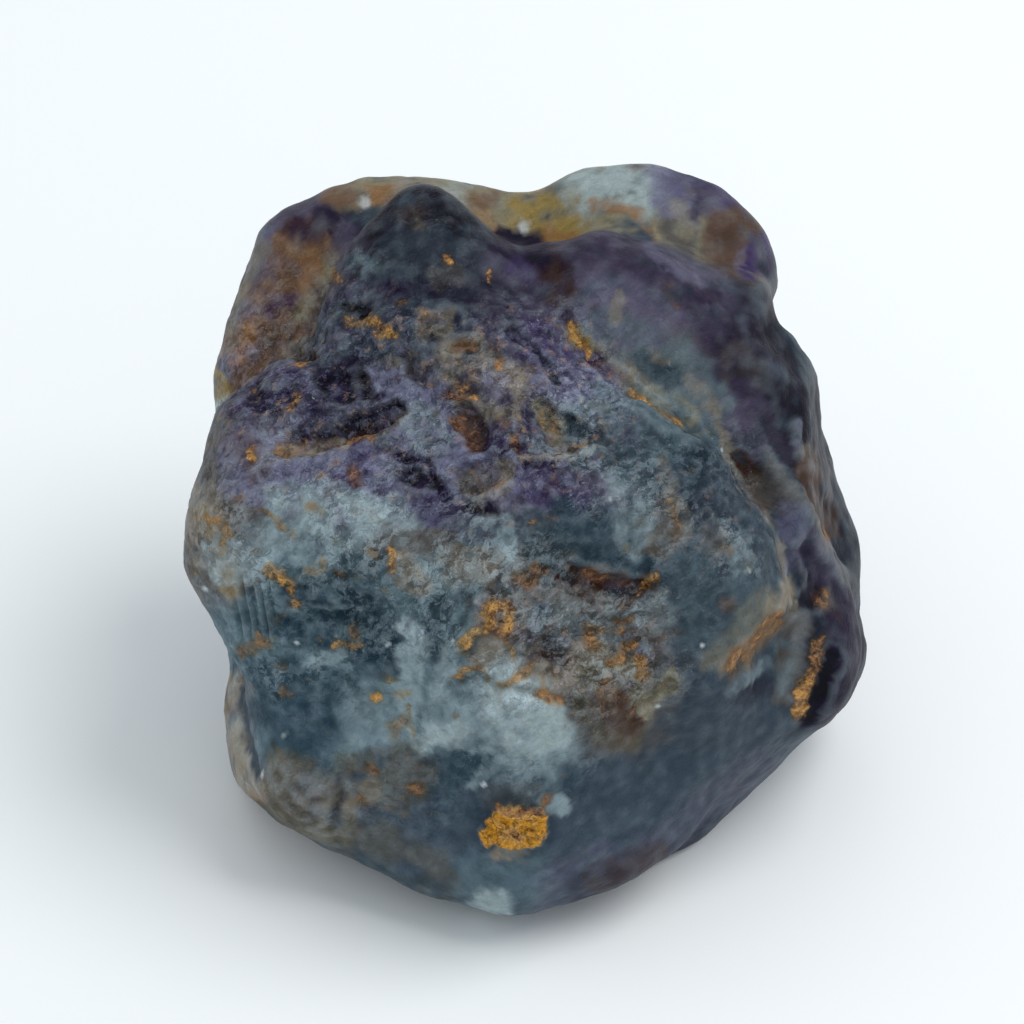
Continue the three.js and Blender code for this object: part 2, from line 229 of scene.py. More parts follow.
# Tones of the rest that the photograph shows, in the same terms
FRONT_TONES = [
    # the grounds
    (DARK_SLATE, 1.0, 88, [(430, 240), (400, 275), (480, 285)]),
    (MAUVE, 1.0, 64, [(605, 285), (660, 320), (700, 355)]),
    (SLATE, 0.9, 66, [(600, 480), (700, 480)]),
    (TEAL, 0.9, 90, [(300, 560), (420, 580), (500, 560)]),
    (TEAL, 1.0, 70, [(280, 690), (360, 710), (400, 720)]),
    (SLATE, 1.0, 110, [(640, 780), (740, 730)]),
    (SLATE, 0.9, 56, [(400, 820), (470, 850)]),
    (MAUVE, 0.9, 92, [(320, 400), (430, 425), (540, 410)]),
    (TAUPE, 1.0, 50, [(228, 460), (214, 500), (208, 540)]),
    (TAUPE, 1.0, 56, [(560, 605), (610, 640), (610, 690)]),
    (NIGHT, 0.9, 50, [(775, 340), (805, 400), (800, 450)]),
    # the peak
    (SLATE, 0.3, 22, [(395, 245), (440, 255)]),
    (NIGHT, 0.9, 12, [(348, 258), (385, 212), (425, 196), (462, 226)]),
    (UMBER, 0.5, 9, [(405, 212), (420, 218)]),
    (OLIVE, 0.25, 4, [(416, 222), (422, 226)]),
    (MAUVE, 0.5, 14, [(350, 245), (342, 280)]),
    (TEAL, 0.7, 9, [(356, 268), (374, 276)]),
    (TAUPE, 0.6, 8, [(440, 276), (458, 274)]),
    (DARK_VIOLET, 0.5, 9, [(378, 282), (402, 278)]),
    (DARK_VIOLET, 0.3, 12, [(400, 292), (440, 296), (470, 290)]),
    (DARK_VIOLET, 0.35, 22, [(345, 300), (420, 300), (500, 300), (545, 286)]),
    (LAVENDER, 0.6, 5, [(350, 291), (360, 291)]),
    (MAUVE, 0.6, 13, [(500, 262), (530, 272)]),
    (VIOLET, 0.6, 9, [(518, 264), (530, 270)]),
    # the shoulder
    (UMBER, 0.9, 13, [(544, 258), (556, 272), (560, 288)]),
    # the same gap between the peak and the shoulder, darkened with painted shade
    (DARK_VIOLET, 1.0, 13, [(506, 240), (520, 246), (536, 252)]),
    (LAVENDER, 0.2, 24, [(600, 300), (640, 300)]),
    (TAUPE, 0.7, 26, [(636, 342), (680, 368)]),
    (PALE, 0.3, 20, [(660, 362), (692, 376)]),
    (DARK_VIOLET, 0.55, 14, [(570, 258), (600, 246), (634, 254), (668, 280), (704, 300)]),
    (MAUVE, 0.8, 6, [(580, 232), (610, 226), (636, 228)]),
    (LAVENDER, 0.4, 5, [(630, 230), (648, 244), (664, 264), (700, 282)]),
    (DARK_VIOLET, 0.5, 20, [(710, 306), (722, 345), (714, 364)]),
    (TEAL, 0.6, 30, [(615, 345), (660, 372), (700, 410)]),
    (LAVENDER, 0.4, 16, [(630, 335), (650, 328)]),
    (SAND, 0.5, 5, [(622, 296), (616, 318)]),
    (DEEP_TEAL, 0.8, 8, [(644, 362), (676, 380)]),
    (OLIVE, 0.7, 9, [(580, 340), (606, 366), (644, 388), (684, 412)]),
    (STRAW, 0.7, 6, [(574, 328), (590, 350), (612, 370)]),
    (SAND, 0.5, 4, [(655, 354), (662, 360)]),
    (SAND, 0.4, 6, [(688, 378), (704, 392), (716, 410)]),
    (SAND, 0.6, 5, [(706, 404), (722, 428), (728, 448)]),
    # the violet zone
    (SLATE, 0.7, 40, [(340, 345), (400, 350), (440, 330)]),
    (VIOLET, 0.9, 20, [(535, 345), (560, 362), (590, 375)]),
    (LAVENDER, 0.8, 30, [(258, 462), (300, 474), (370, 486)]),
    (VIOLET, 1.0, 27, [(470, 455), (440, 478), (430, 496)]),
    (VIOLET, 0.8, 17, [(350, 452), (342, 480), (338, 498)]),
    (VIOLET, 0.6, 20, [(250, 400), (300, 390), (360, 400)]),
    (VIOLET, 0.7, 16, [(540, 480), (570, 500)]),
    (VIOLET, 0.7, 10, [(500, 440), (520, 455), (512, 480)]),
    (LAVENDER, 1.0, 26, [(395, 395), (430, 420), (438, 445)]),
    (PALE, 0.6, 14, [(414, 415), (440, 442)]),
    (LAVENDER, 0.8, 24, [(560, 388), (600, 395)]),
    (LAVENDER, 0.9, 13, [(290, 474), (320, 470)]),
    (LAVENDER, 0.6, 9, [(345, 466), (372, 470)]),
    (LAVENDER, 1.0, 20, [(474, 470), (498, 474)]),
    (SAND, 0.5, 14, [(480, 484), (500, 478)]),
    (LAVENDER, 0.6, 8, [(506, 372), (520, 380)]),
    (DARK_VIOLET, 1.0, 15, [(330, 372), (344, 390), (350, 376)]),
    (DARK_VIOLET, 0.9, 7, [(362, 378), (370, 396)]),
    (PALE, 0.6, 3, [(356, 384), (358, 388)]),
    (DARK_VIOLET, 0.8, 16, [(250, 402), (284, 398)]),
    (DARK_VIOLET, 0.7, 7, [(320, 405), (345, 408)]),
    (DARK_VIOLET, 0.8, 7, [(402, 350), (408, 368), (420, 380)]),
    (DARK_VIOLET, 0.8, 9, [(505, 386), (526, 392)]),
    (DARK_VIOLET, 0.8, 7, [(510, 414), (524, 418)]),
    (DARK_VIOLET, 1.0, 9, [(402, 474), (430, 480)]),
    (DARK_VIOLET, 0.8, 6, [(400, 456), (426, 462), (438, 484), (446, 498)]),
    (DARK_VIOLET, 1.0, 8, [(564, 412), (578, 426), (604, 438)]),
    (DARK_VIOLET, 0.9, 7, [(470, 510), (492, 510)]),
    (DARK_VIOLET, 0.6, 6, [(486, 448), (500, 450)]),
    (DARK_VIOLET, 0.6, 6, [(612, 460), (630, 464)]),
    (DARK_SLATE, 0.8, 4, [(430, 340), (446, 330), (460, 318)]),
    (DARK_SLATE, 0.8, 4, [(512, 328), (530, 345), (545, 364), (556, 380)]),
    (SAND, 0.9, 24, [(462, 360), (480, 380), (500, 392)]),
    (LAVENDER, 0.5, 12, [(476, 372), (492, 380)]),
    (SAND, 0.7, 6, [(424, 314), (421, 334)]),
    (SAND, 0.7, 5, [(436, 314), (452, 311)]),
    (OLIVE, 0.5, 8, [(440, 326), (446, 322)]),
    (OLIVE, 0.6, 5, [(386, 362), (394, 364)]),
    (TAUPE, 0.6, 10, [(412, 364), (430, 376)]),
    (SAND, 0.6, 5, [(590, 404), (606, 408)]),
    (BROWN, 0.7, 5, [(596, 420), (604, 426)]),
    # the pits: painted shade under the upper lip, tan on the floor
    (SAND, 1.0, 9, [(290, 450), (318, 447), (344, 443)]),
    (UMBER, 0.7, 5, [(306, 440), (340, 436)]),
    (DARK_VIOLET, 1.0, 5, [(296, 438), (312, 430), (332, 427), (344, 430)]),
    (DARK_VIOLET, 1.0, 9, [(350, 424), (375, 417), (396, 408)]),
    (UMBER, 0.9, 6, [(352, 434), (376, 430), (394, 420)]),
    (SAND, 0.5, 4, [(384, 430), (400, 420), (406, 412)]),
    (UMBER, 0.9, 5, [(299, 354), (312, 354)]),
    (SHADOW, 0.8, 5, [(343, 306), (364, 311)]),
    (RUSTY, 0.7, 8, [(462, 410), (464, 420), (474, 440)]),
    (BROWN, 0.8, 9, [(474, 414), (480, 432)]),
    (PALE, 0.6, 4, [(456, 407), (474, 404)]),
    (OLIVE, 0.9, 9, [(543, 408), (556, 426), (566, 440)]),
    (BROWN, 0.8, 8, [(568, 444), (590, 442)]),
    (UMBER, 0.8, 5, [(512, 436), (516, 450)]),
    (SAND, 0.8, 5, [(520, 462), (556, 455), (600, 446)]),
    (DARK_VIOLET, 0.7, 4, [(520, 468), (552, 467)]),
    (DARK_SLATE, 0.7, 4, [(570, 462), (590, 460)]),
    (PALE, 0.5, 6, [(536, 444), (548, 448)]),
    (SAND, 0.8, 12, [(474, 490), (500, 480)]),
    (TAUPE, 0.8, 8, [(464, 478), (470, 496)]),
    (PALE, 0.7, 6, [(478, 522), (490, 520)]),
    # the left edge
    (BROWN, 0.5, 12, [(240, 448), (262, 462)]),
    (STRAW, 0.6, 9, [(208, 512), (222, 552), (230, 586)]),
    (SAND, 0.6, 16, [(206, 500), (214, 560)]),
    # the front mass, middle
    (TEAL, 0.7, 34, [(600, 430), (650, 436)]),
    (PALE, 1.0, 26, [(300, 512), (350, 518), (385, 524)]),
    (ICE, 0.2, 12, [(300, 510), (340, 516)]),
    (PALE, 0.7, 20, [(226, 560), (270, 548)]),
    (PALE, 0.5, 14, [(310, 556), (350, 550)]),
    (PALE, 0.5, 20, [(430, 562), (460, 568)]),
    (TAUPE, 0.9, 13, [(385, 543), (430, 543), (452, 548)]),
    (SAND, 0.7, 12, [(400, 566), (420, 584)]),
    (SAND, 0.5, 12, [(452, 556), (490, 560)]),
    (SAND, 0.5, 9, [(455, 578), (490, 576)]),
    (DEEP_TEAL, 0.9, 34, [(570, 545), (620, 552)]),
    (DEEP_TEAL, 0.9, 26, [(690, 505), (716, 535)]),
    (DARK_SLATE, 0.7, 14, [(700, 500), (710, 530)]),
    (PALE, 0.7, 17, [(626, 486), (640, 516), (632, 532)]),
    (DEEP_TEAL, 0.6, 26, [(640, 456), (690, 470)]),
    (SAND, 0.3, 7, [(664, 462), (674, 484)]),
    (SAND, 0.4, 12, [(668, 500), (676, 530), (660, 545)]),
    (DEEP_TEAL, 1.0, 24, [(296, 612), (350, 620), (380, 650)]),
    (DEEP_TEAL, 0.7, 40, [(270, 690), (320, 700)]),
    (DEEP_TEAL, 0.7, 16, [(370, 560), (350, 574)]),
    (DEEP_TEAL, 0.6, 13, [(246, 600), (262, 620)]),
    (PALE, 0.9, 6, [(508, 520), (509, 560)]),
    (FROST_AND_HIGHLIGHT, 0.6, 8, [(404, 625), (424, 645)]),
    (PALE, 0.9, 12, [(414, 650), (406, 700)]),
    (PALE, 0.8, 10, [(452, 650), (440, 690)]),
    (DEEP_TEAL, 0.8, 9, [(436, 612), (430, 655)]),
    (PALE, 0.5, 5, [(310, 662), (345, 655)]),
    # the stained hollow
    (SAND, 0.8, 22, [(500, 655), (540, 672), (600, 672)]),
    (BROWN, 0.7, 15, [(488, 610), (508, 630)]),
    (OLIVE, 0.6, 18, [(600, 670), (640, 690)]),
    (DARK_SLATE, 0.7, 12, [(530, 640), (552, 650)]),
    (UMBER, 0.8, 5, [(528, 660), (545, 654), (562, 664)]),
    (SAND, 0.5, 12, [(565, 600), (600, 606)]),
    (PALE, 0.4, 20, [(566, 614), (600, 624)]),
    (PALE, 0.4, 12, [(640, 612), (664, 616)]),
    (UMBER, 1.0, 10, [(570, 576), (600, 588), (625, 594), (650, 580)]),
    (BROWN, 0.9, 9, [(592, 572), (618, 578)]),
    (MAUVE, 0.6, 8, [(612, 580), (628, 586)]),
    (KHAKI, 0.8, 22, [(604, 692), (622, 722)]),
    (BROWN, 0.6, 14, [(612, 696), (624, 724)]),
    (UMBER, 0.7, 9, [(626, 690), (628, 722)]),
    (OLIVE, 0.9, 7, [(655, 696), (674, 678)]),
    (OLIVE, 0.6, 8, [(640, 700), (646, 712)]),
    (UMBER, 0.6, 5, [(566, 692), (578, 694)]),
    # the bulge
    (TEAL, 0.35, 44, [(715, 590), (735, 570)]),
    (SLATE, 0.9, 24, [(740, 500), (765, 550)]),
    (PALE, 0.4, 10, [(735, 545), (745, 560)]),
    (TAUPE, 0.6, 12, [(708, 540), (724, 548)]),
    # a pale line along the bulge's raised rim: painted highlight
    (SAND, 0.6, 4, [(722, 455), (742, 482), (762, 508), (776, 532), (782, 560), (782, 590)]),
    (OLIVE, 0.4, 12, [(712, 656), (742, 628), (768, 600)]),
    (SAND, 0.7, 11, [(780, 606), (762, 636), (732, 664)]),
    (PALE, 0.4, 4, [(738, 686), (756, 670)]),
    (RUSTY, 0.5, 5, [(724, 606), (732, 606)]),
    # the right side, behind the bulge
    (NIGHT, 0.7, 14, [(766, 350), (776, 400), (782, 430)]),
    (TAUPE, 0.35, 14, [(738, 360), (748, 392)]),
    (VIOLET, 0.4, 10, [(742, 392), (752, 400)]),
    (MAUVE, 0.8, 12, [(740, 420), (752, 446)]),
    # a pale streak on a raised crest: painted highlight
    (LAVENDER, 0.45, 3.5, [(800, 424), (796, 452)]),
    (SAND, 0.5, 9, [(806, 452), (816, 458)]),
    (MAUVE, 0.5, 14, [(756, 420), (776, 452)]),
    (UMBER, 1.0, 8, [(738, 458), (752, 478), (764, 504)]),
    (TAUPE, 0.8, 13, [(766, 478), (782, 500)]),
    (LAVENDER, 0.7, 7, [(790, 508), (788, 530)]),
    (NIGHT, 0.6, 24, [(826, 440), (838, 520), (856, 570)]),
    (BROWN, 0.8, 13, [(812, 470), (828, 510)]),
    (DARK_SLATE, 0.8, 8, [(832, 480), (858, 560), (858, 590)]),
    (UMBER, 0.8, 7, [(834, 515), (838, 534)]),
    # a pale line along the raised crest: painted highlight
    (TAUPE, 0.7, 3.5, [(770, 458), (782, 476), (801, 500), (812, 522), (836, 562), (854, 602)]),
    (SAND, 0.5, 5, [(820, 524), (834, 545)]),
    (LAVENDER, 0.4, 4, [(802, 505), (802, 530), (790, 548), (786, 575)]),
    (MAUVE, 0.8, 16, [(812, 545), (822, 590), (838, 620)]),
    (DARK_VIOLET, 0.5, 8, [(810, 556), (818, 585)]),
    (NIGHT, 0.8, 8, [(806, 580), (810, 604)]),
    (RUSTY, 0.7, 7, [(824, 596), (830, 612)]),
    (SAND, 0.9, 8, [(786, 586), (790, 606)]),
    (TAUPE, 0.9, 11, [(793, 620), (796, 660), (785, 690)]),
    (TEAL, 0.6, 7, [(786, 650), (784, 690)]),
    (NIGHT, 0.7, 34, [(838, 620), (848, 670), (835, 705)]),
    (DARK_VIOLET, 0.7, 20, [(846, 625), (850, 665), (834, 712)]),
    # the crevice beside the knob, darkened with painted shade
    (DARK_VIOLET, 1.0, 8, [(832, 658), (820, 695), (810, 720)]),
    # the lower faces
    (DEEP_TEAL, 0.7, 30, [(270, 690), (300, 710), (300, 745)]),
    (PALE, 0.4, 26, [(370, 716), (440, 720)]),
    (PALE, 0.9, 38, [(500, 716), (530, 730), (534, 750)]),
    (ICE, 0.8, 22, [(500, 704), (534, 714), (546, 730), (522, 738)]),
    (ICE, 0.7, 14, [(425, 738), (450, 736)]),
    (FROST_AND_HIGHLIGHT, 0.6, 5, [(478, 716), (490, 708)]),
    (FROST_AND_HIGHLIGHT, 0.6, 6, [(508, 694), (532, 706)]),
    # dark below the raised fold under the bulge: painted shade
    (DARK_SLATE, 0.8, 8, [(745, 698), (764, 686)]),
    (DEEP_TEAL, 0.9, 14, [(438, 762), (470, 766)]),
    (TAUPE, 0.6, 11, [(490, 796), (530, 792)]),
    (DEEP_TEAL, 0.5, 24, [(430, 785), (480, 780), (560, 790)]),
    (PALE, 0.4, 4, [(470, 785), (500, 760), (530, 745)]),
    (KHAKI, 1.0, 34, [(280, 795), (312, 822)]),
    (TAUPE, 0.5, 18, [(286, 788), (300, 806)]),
    (TAUPE, 0.7, 8, [(324, 786), (322, 800)]),
    (KHAKI, 0.6, 24, [(360, 782), (405, 776)]),
    (SAND, 0.4, 9, [(372, 790), (352, 806)]),
    (DARK_SLATE, 0.3, 3, [(340, 784), (342, 800), (334, 822)]),
    (SAND, 0.8, 14, [(230, 690), (232, 745), (244, 790)]),
    (BROWN, 0.4, 9, [(228, 696), (230, 712)]),
    (RUSTY, 0.4, 7, [(248, 796), (254, 802)]),
    (SLATE, 0.9, 5, [(244, 690), (250, 745), (258, 775)]),
    (MAUVE, 0.35, 24, [(560, 886), (640, 862), (700, 828), (770, 780)]),
    (DARK_SLATE, 0.6, 14, [(580, 890), (650, 872), (720, 832)]),
    (UMBER, 0.5, 14, [(600, 878), (650, 858)]),
    (KHAKI, 0.5, 26, [(370, 850), (400, 868), (430, 880)]),
    (DEEP_TEAL, 0.7, 14, [(330, 858), (380, 882), (440, 898)]),
    (TEAL, 0.5, 30, [(510, 874), (486, 892)]),
    (ICE, 0.6, 11, [(482, 906), (502, 906)]),
    (SAND, 0.8, 6, [(498, 854), (518, 856)]),
    (PALE, 0.8, 9, [(552, 806), (560, 810)]),
    (BROWN, 0.7, 4, [(544, 812), (550, 798)]),
]
# The top edge of the front mass. Above it, what lies deeper than this out of the image is the body behind.
FRONT_EDGE = [
    (180, 430), (262, 392), (300, 352), (345, 262), (385, 215), (430, 196), (470, 228), (520, 250),
    (570, 254), (600, 240), (640, 246), (680, 272), (740, 318), (800, 352), (870, 380),
]
FRONT_EDGE_REACH = 24
REAR_DEPTH = 2.0 * MM

# Iron stains: how orange they are, strength, half width and the photograph's pixels along them
STAINS = [
    # the front mass, top
    (1.0, 0.9, 5, [(346, 320), (358, 322)]),
    (0.8, 1.0, 6, [(368, 318), (380, 328), (394, 332)]),
    (1.0, 1.0, 4, [(378, 333), (394, 333)]),
    (0.3, 1.1, 5, [(300, 364), (314, 360)]),
    (0.5, 1.1, 5, [(448, 258), (450, 260)]),
    (0.8, 1.0, 4, [(489, 272), (489, 280)]),
    (0.5, 0.9, 4, [(399, 302), (405, 301)]),
    (0.4, 0.9, 5, [(335, 274), (334, 281)]),
    (0.7, 0.5, 5, [(424, 318), (421, 332)]),
    (0.6, 0.5, 4, [(412, 354), (416, 356)]),
    (0.6, 0.4, 7, [(668, 284), (674, 298)]),
    # the violet zone
    (1.0, 1.2, 5, [(249, 452), (252, 456)]),
    (0.8, 1.0, 5, [(288, 410), (296, 404)]),
    (0.6, 0.7, 4, [(294, 394), (303, 402)]),
    (0.4, 1.1, 6, [(354, 440), (370, 438)]),
    (0.6, 0.8, 5, [(280, 452), (290, 448)]),
    (0.6, 0.5, 4, [(282, 420), (286, 430)]),
    (0.2, 1.0, 6, [(355, 472), (357, 482)]),
    (0.2, 0.6, 4, [(319, 476), (324, 475)]),
    (0.2, 1.0, 5, [(450, 398), (466, 400)]),
    (0.6, 1.1, 4, [(471, 396), (477, 399)]),
    (0.2, 0.9, 5, [(452, 418), (462, 420)]),
    (0.1, 0.7, 7, [(466, 426), (476, 442)]),
    (0.3, 0.6, 5, [(496, 426), (506, 422)]),
    (0.4, 1.0, 4, [(496, 358), (498, 368)]),
    (0.6, 0.6, 8, [(462, 388), (470, 376)]),
    (0.3, 0.6, 5, [(490, 344), (496, 350)]),
    (0.1, 0.8, 6, [(458, 346), (468, 345)]),
    (0.6, 0.4, 5, [(540, 384), (546, 390)]),
    (0.7, 0.5, 8, [(546, 412), (558, 432)]),
    (0.2, 0.8, 5, [(512, 438), (516, 448)]),
    (0.5, 0.6, 4, [(476, 494), (490, 490), (503, 484)]),
    (0.2, 0.6, 5, [(570, 446), (584, 444)]),
    (0.3, 0.6, 4, [(598, 420), (604, 426)]),
    (0.7, 0.5, 5, [(534, 522), (548, 518)]),
    (0.6, 0.4, 5, [(546, 490), (556, 478)]),
    # the seam above the bulge
    (1.0, 1.1, 3.5, [(570, 322), (578, 336), (590, 352)]),
    (0.8, 0.5, 4, [(592, 358), (606, 370), (630, 378)]),
    (0.6, 1.1, 3, [(634, 390), (650, 402)]),
    (0.4, 0.9, 3, [(654, 404), (668, 414), (682, 421)]),
    (0.7, 0.4, 5, [(692, 424), (712, 432)]),
    # the left edge and the front mass
    (0.7, 0.8, 3.5, [(262, 508), (268, 515)]),
    (0.3, 0.9, 3.5, [(268, 517), (282, 526)]),
    (0.2, 0.5, 4, [(290, 532), (294, 538)]),
    (0.4, 0.5, 4, [(236, 494), (240, 500)]),
    (1.0, 0.9, 4, [(209, 519), (220, 519)]),
    (0.9, 0.7, 4, [(227, 528), (224, 542)]),
    (0.4, 0.6, 4, [(219, 552), (224, 550)]),
    (0.9, 0.5, 6, [(228, 572), (230, 588)]),
    (0.6, 0.6, 3, [(191, 564), (194, 576)]),
    (0.6, 1.1, 7, [(270, 572), (278, 576)]),
    (0.7, 1.1, 6, [(284, 584), (290, 590)]),
    (0.6, 1.0, 4, [(294, 601), (298, 602)]),
    (0.1, 0.9, 7, [(243, 652), (254, 646)]),
    (0.3, 1.0, 6, [(258, 640), (268, 646)]),
    (0.1, 0.6, 5, [(278, 621), (286, 618)]),
    (0.3, 0.6, 3, [(317, 636), (319, 639)]),
    (0.7, 0.9, 4, [(334, 644), (348, 645), (358, 645)]),
    (0.0, 0.9, 4, [(352, 630), (355, 635)]),
    (0.4, 0.6, 4, [(276, 669), (282, 670)]),
    (0.8, 1.0, 3.5, [(389, 550), (391, 570)]),
    (0.3, 0.5, 3, [(386, 586), (388, 592)]),
    (0.3, 0.9, 4, [(321, 564), (323, 569)]),
    (0.0, 0.7, 5, [(308, 574), (316, 572)]),
    (0.0, 0.8, 4, [(334, 574), (342, 575)]),
    (0.1, 0.7, 4, [(370, 550), (376, 557)]),
    (0.1, 0.6, 6, [(308, 506), (316, 508)]),
    (0.2, 0.4, 5, [(338, 542), (342, 545)]),
    (0.3, 0.9, 6, [(282, 692), (287, 696)]),
    (1.0, 1.1, 3, [(371, 698), (382, 697)]),
    (0.9, 0.7, 4, [(390, 679), (394, 678)]),
    (0.6, 0.8, 4, [(397, 694), (405, 691)]),
    (0.5, 0.6, 4, [(625, 547), (628, 550)]),
    (0.4, 0.5, 5, [(640, 552), (652, 550)]),
    (0.4, 0.5, 6, [(672, 500), (676, 530)]),
    (0.4, 0.5, 5, [(722, 544), (730, 550)]),
    (0.2, 0.5, 4, [(728, 608), (734, 608)]),
    # the stained hollow
    (0.1, 0.9, 7, [(520, 578), (532, 582)]),
    (0.15, 0.9, 5, [(536, 570), (546, 570)]),
    (0.1, 0.9, 8, [(590, 574), (602, 580)]),
    (0.05, 0.5, 8, [(606, 578), (620, 580)]),
    (0.8, 1.1, 8, [(488, 624), (492, 610), (502, 606)]),
    (0.9, 1.0, 7, [(504, 628), (512, 618)]),
    (0.9, 1.0, 6, [(464, 642), (474, 634), (484, 630)]),
    (0.5, 0.6, 5, [(464, 650), (470, 646)]),
    (0.5, 0.8, 4, [(498, 634), (510, 646), (514, 656)]),
    (0.5, 1.0, 3.5, [(449, 680), (458, 680), (466, 672), (478, 668)]),
    (0.6, 0.9, 3.5, [(482, 668), (486, 682)]),
    (0.4, 1.0, 4, [(500, 684), (512, 682), (520, 676), (530, 666)]),
    (0.3, 0.8, 3, [(530, 668), (540, 678)]),
    (0.2, 1.1, 6, [(541, 690), (550, 697), (560, 700)]),
    (0.3, 1.0, 7, [(590, 634), (596, 646)]),
    (0.3, 0.7, 4, [(588, 626), (604, 630), (622, 632)]),
    (0.2, 1.0, 5, [(617, 622), (630, 620)]),
    (0.5, 1.1, 5, [(624, 648), (634, 646)]),
    (0.4, 0.9, 5, [(612, 662), (624, 660)]),
    (0.5, 1.1, 6, [(640, 662), (642, 676)]),
    (0.7, 0.8, 6, [(648, 586), (656, 574)]),
    (0.3, 0.5, 4, [(622, 606), (644, 594)]),
    (0.7, 0.5, 4, [(660, 692), (672, 680)]),
    (0.3, 0.5, 4, [(674, 630), (684, 632)]),
    (0.1, 0.5, 12, [(606, 690), (626, 716)]),
    # the fold under the bulge, and the vein beside the knob
    (0.3, 0.95, 8, [(776, 618), (766, 632), (750, 650)]),
    (0.35, 0.95, 7, [(746, 652), (730, 669)]),
    (0.4, 1.2, 6, [(820, 642), (814, 668), (808, 682)]),
    (0.55, 1.4, 7, [(809, 680), (801, 694), (798, 714)]),
    (0.3, 0.8, 6, [(826, 592), (822, 606)]),
    (0.4, 0.8, 4, [(824, 524), (834, 540)]),
    # the lower faces
    (0.1, 0.9, 5, [(366, 768), (374, 770)]),
    (0.1, 0.5, 5, [(350, 772), (362, 768)]),
    (0.2, 1.0, 6, [(414, 788), (420, 792)]),
    (0.2, 0.6, 6, [(408, 800), (406, 812)]),
    (0.6, 0.6, 6, [(352, 804), (364, 798)]),
    (0.3, 0.6, 5, [(274, 745), (278, 750)]),
    (0.5, 0.5, 3, [(561, 779), (563, 781)]),
    (0.3, 0.8, 2.5, [(453, 717), (456, 718)]),
    # dark specks that gather by the pale face
    (0.2, 0.6, 8, [(392, 730), (404, 722)]),
    (0.05, 0.8, 3, [(394, 728), (406, 722), (416, 736)]),
    (0.05, 0.8, 3, [(408, 706), (407, 718)]),
]
# The bright crust in a pocket of the lower face, its upper edge darkened with painted shade, and its core
CRUST = [
    (490, 836), (496, 824), (506, 812), (520, 816), (538, 818), (540, 830), (524, 838), (504, 838),
    (506, 826), (524, 828),
]
CRUST_WIDTH = 9
CRUST_HUE = 1.3
CRUST_EDGE_WIDTH = 4
CRUST_EDGE_HUE = 0.2
CRUST_SHADE_EDGE = [(498, 806), (520, 812), (542, 808), (548, 798)]
CRUST_CORE = [(504, 835), (514, 830), (520, 834)]

# Painted glints: bright spots laid into the colour where little edges and facets catch the light
GLINTS = [
    (478, 602), (454, 640), (204, 590), (214, 614), (226, 643), (242, 668), (285, 735), (610, 500),
    (750, 570), (702, 646), (720, 450), (297, 642), (388, 644), (658, 706), (484, 784), (260, 774),
]
GLINT_WIDTH = 1.8
GLINT_STRENGTH = 0.6
BLURRED_GLINT_WIDTH = 5.4
BLURRED_GLINTS = [(365, 203), (524, 228)]

# Where the surface is finely broken, frosted with light flecks, and mottled: strength, half width, pixels
BROKEN = [
    (1.0, 110, [(320, 370), (430, 410), (540, 410)]),
    (0.75, 105, [(280, 520), (400, 550), (480, 560)]),
    (0.5, 70, [(260, 650), (370, 640)]),
    (1.0, 80, [(520, 625), (620, 635)]),
    (0.7, 80, [(600, 470), (690, 500)]),
    (0.5, 26, [(400, 720), (420, 740)]),
    (0.3, 50, [(300, 800), (400, 800)]),
    (0.4, 60, [(420, 240), (400, 290)]),
    (0.6, 20, [(705, 540), (740, 555)]),
]
FROSTED = [
    (0.7, 60, [(260, 540), (320, 530), (400, 540), (480, 570)]),
    (0.4, 46, [(360, 600), (430, 620)]),
    (0.5, 26, [(280, 664), (330, 665)]),
    (0.35, 46, [(590, 440), (640, 500), (660, 520)]),
    (0.6, 50, [(560, 610), (620, 640)]),
    (0.5, 20, [(580, 400), (620, 410)]),
    (0.5, 22, [(730, 540), (740, 560)]),
    (0.35, 60, [(480, 720), (540, 740)]),
]
MOTTLED = [
    (1.0, 92, [(280, 400), (340, 400), (430, 410), (530, 410)]),
    (0.8, 40, [(370, 340), (480, 350)]),
    (0.6, 40, [(420, 490), (500, 490)]),
    (0.7, 60, [(550, 630), (620, 650)]),
    (0.6, 40, [(220, 470), (210, 520)]),
    (0.4, 50, [(620, 480), (700, 520)]),
    (0.4, 40, [(400, 790), (290, 800)]),
]

# Pits: depth in mm, half width and pixels along them. Each has a raised lip on its upper side.
PITS = [
    (0.3, 10, [(286, 448), (320, 443), (342, 438)]),
    (0.5, 9, [(350, 428), (375, 421), (398, 410)]),
    (0.3, 14, [(332, 378), (346, 390)]),
    (0.3, 6, [(364, 380), (368, 392)]),
    (0.3, 11, [(256, 400), (280, 400)]),
    (0.5, 6, [(300, 356), (313, 358)]),
    (0.5, 12, [(464, 416), (474, 424), (479, 438)]),
    (0.3, 11, [(545, 410), (562, 434)]),
    (0.4, 7, [(570, 420), (584, 430), (602, 438)]),
    (0.25, 10, [(525, 450), (548, 446)]),
    (0.3, 16, [(474, 480), (494, 470)]),
    (0.35, 9, [(406, 474), (430, 480)]),
    (0.3, 7, [(456, 347), (470, 346)]),
    (0.25, 11, [(430, 330), (448, 320)]),
    (0.2, 9, [(412, 362), (420, 372)]),
    (0.3, 6, [(474, 510), (492, 511)]),
    (0.4, 10, [(572, 574), (604, 582), (640, 590)]),
    (0.2, 9, [(520, 582), (545, 574)]),
    (0.2, 12, [(596, 640), (612, 652)]),
    (0.25, 10, [(630, 662), (638, 682)]),
    (0.2, 9, [(534, 644), (554, 648)]),
    (0.25, 6, [(304, 586), (338, 578)]),
    (0.2, 7, [(310, 615), (360, 620)]),
    (0.12, 12, [(502, 830), (530, 826)]),
    (0.3, 5, [(344, 307), (364, 310)]),
]
PIT_DEPTH = 0.7  # of those depths, so that the light still reaches their floors
LIP = 0.3  # height of a lip as a share of its pit's depth

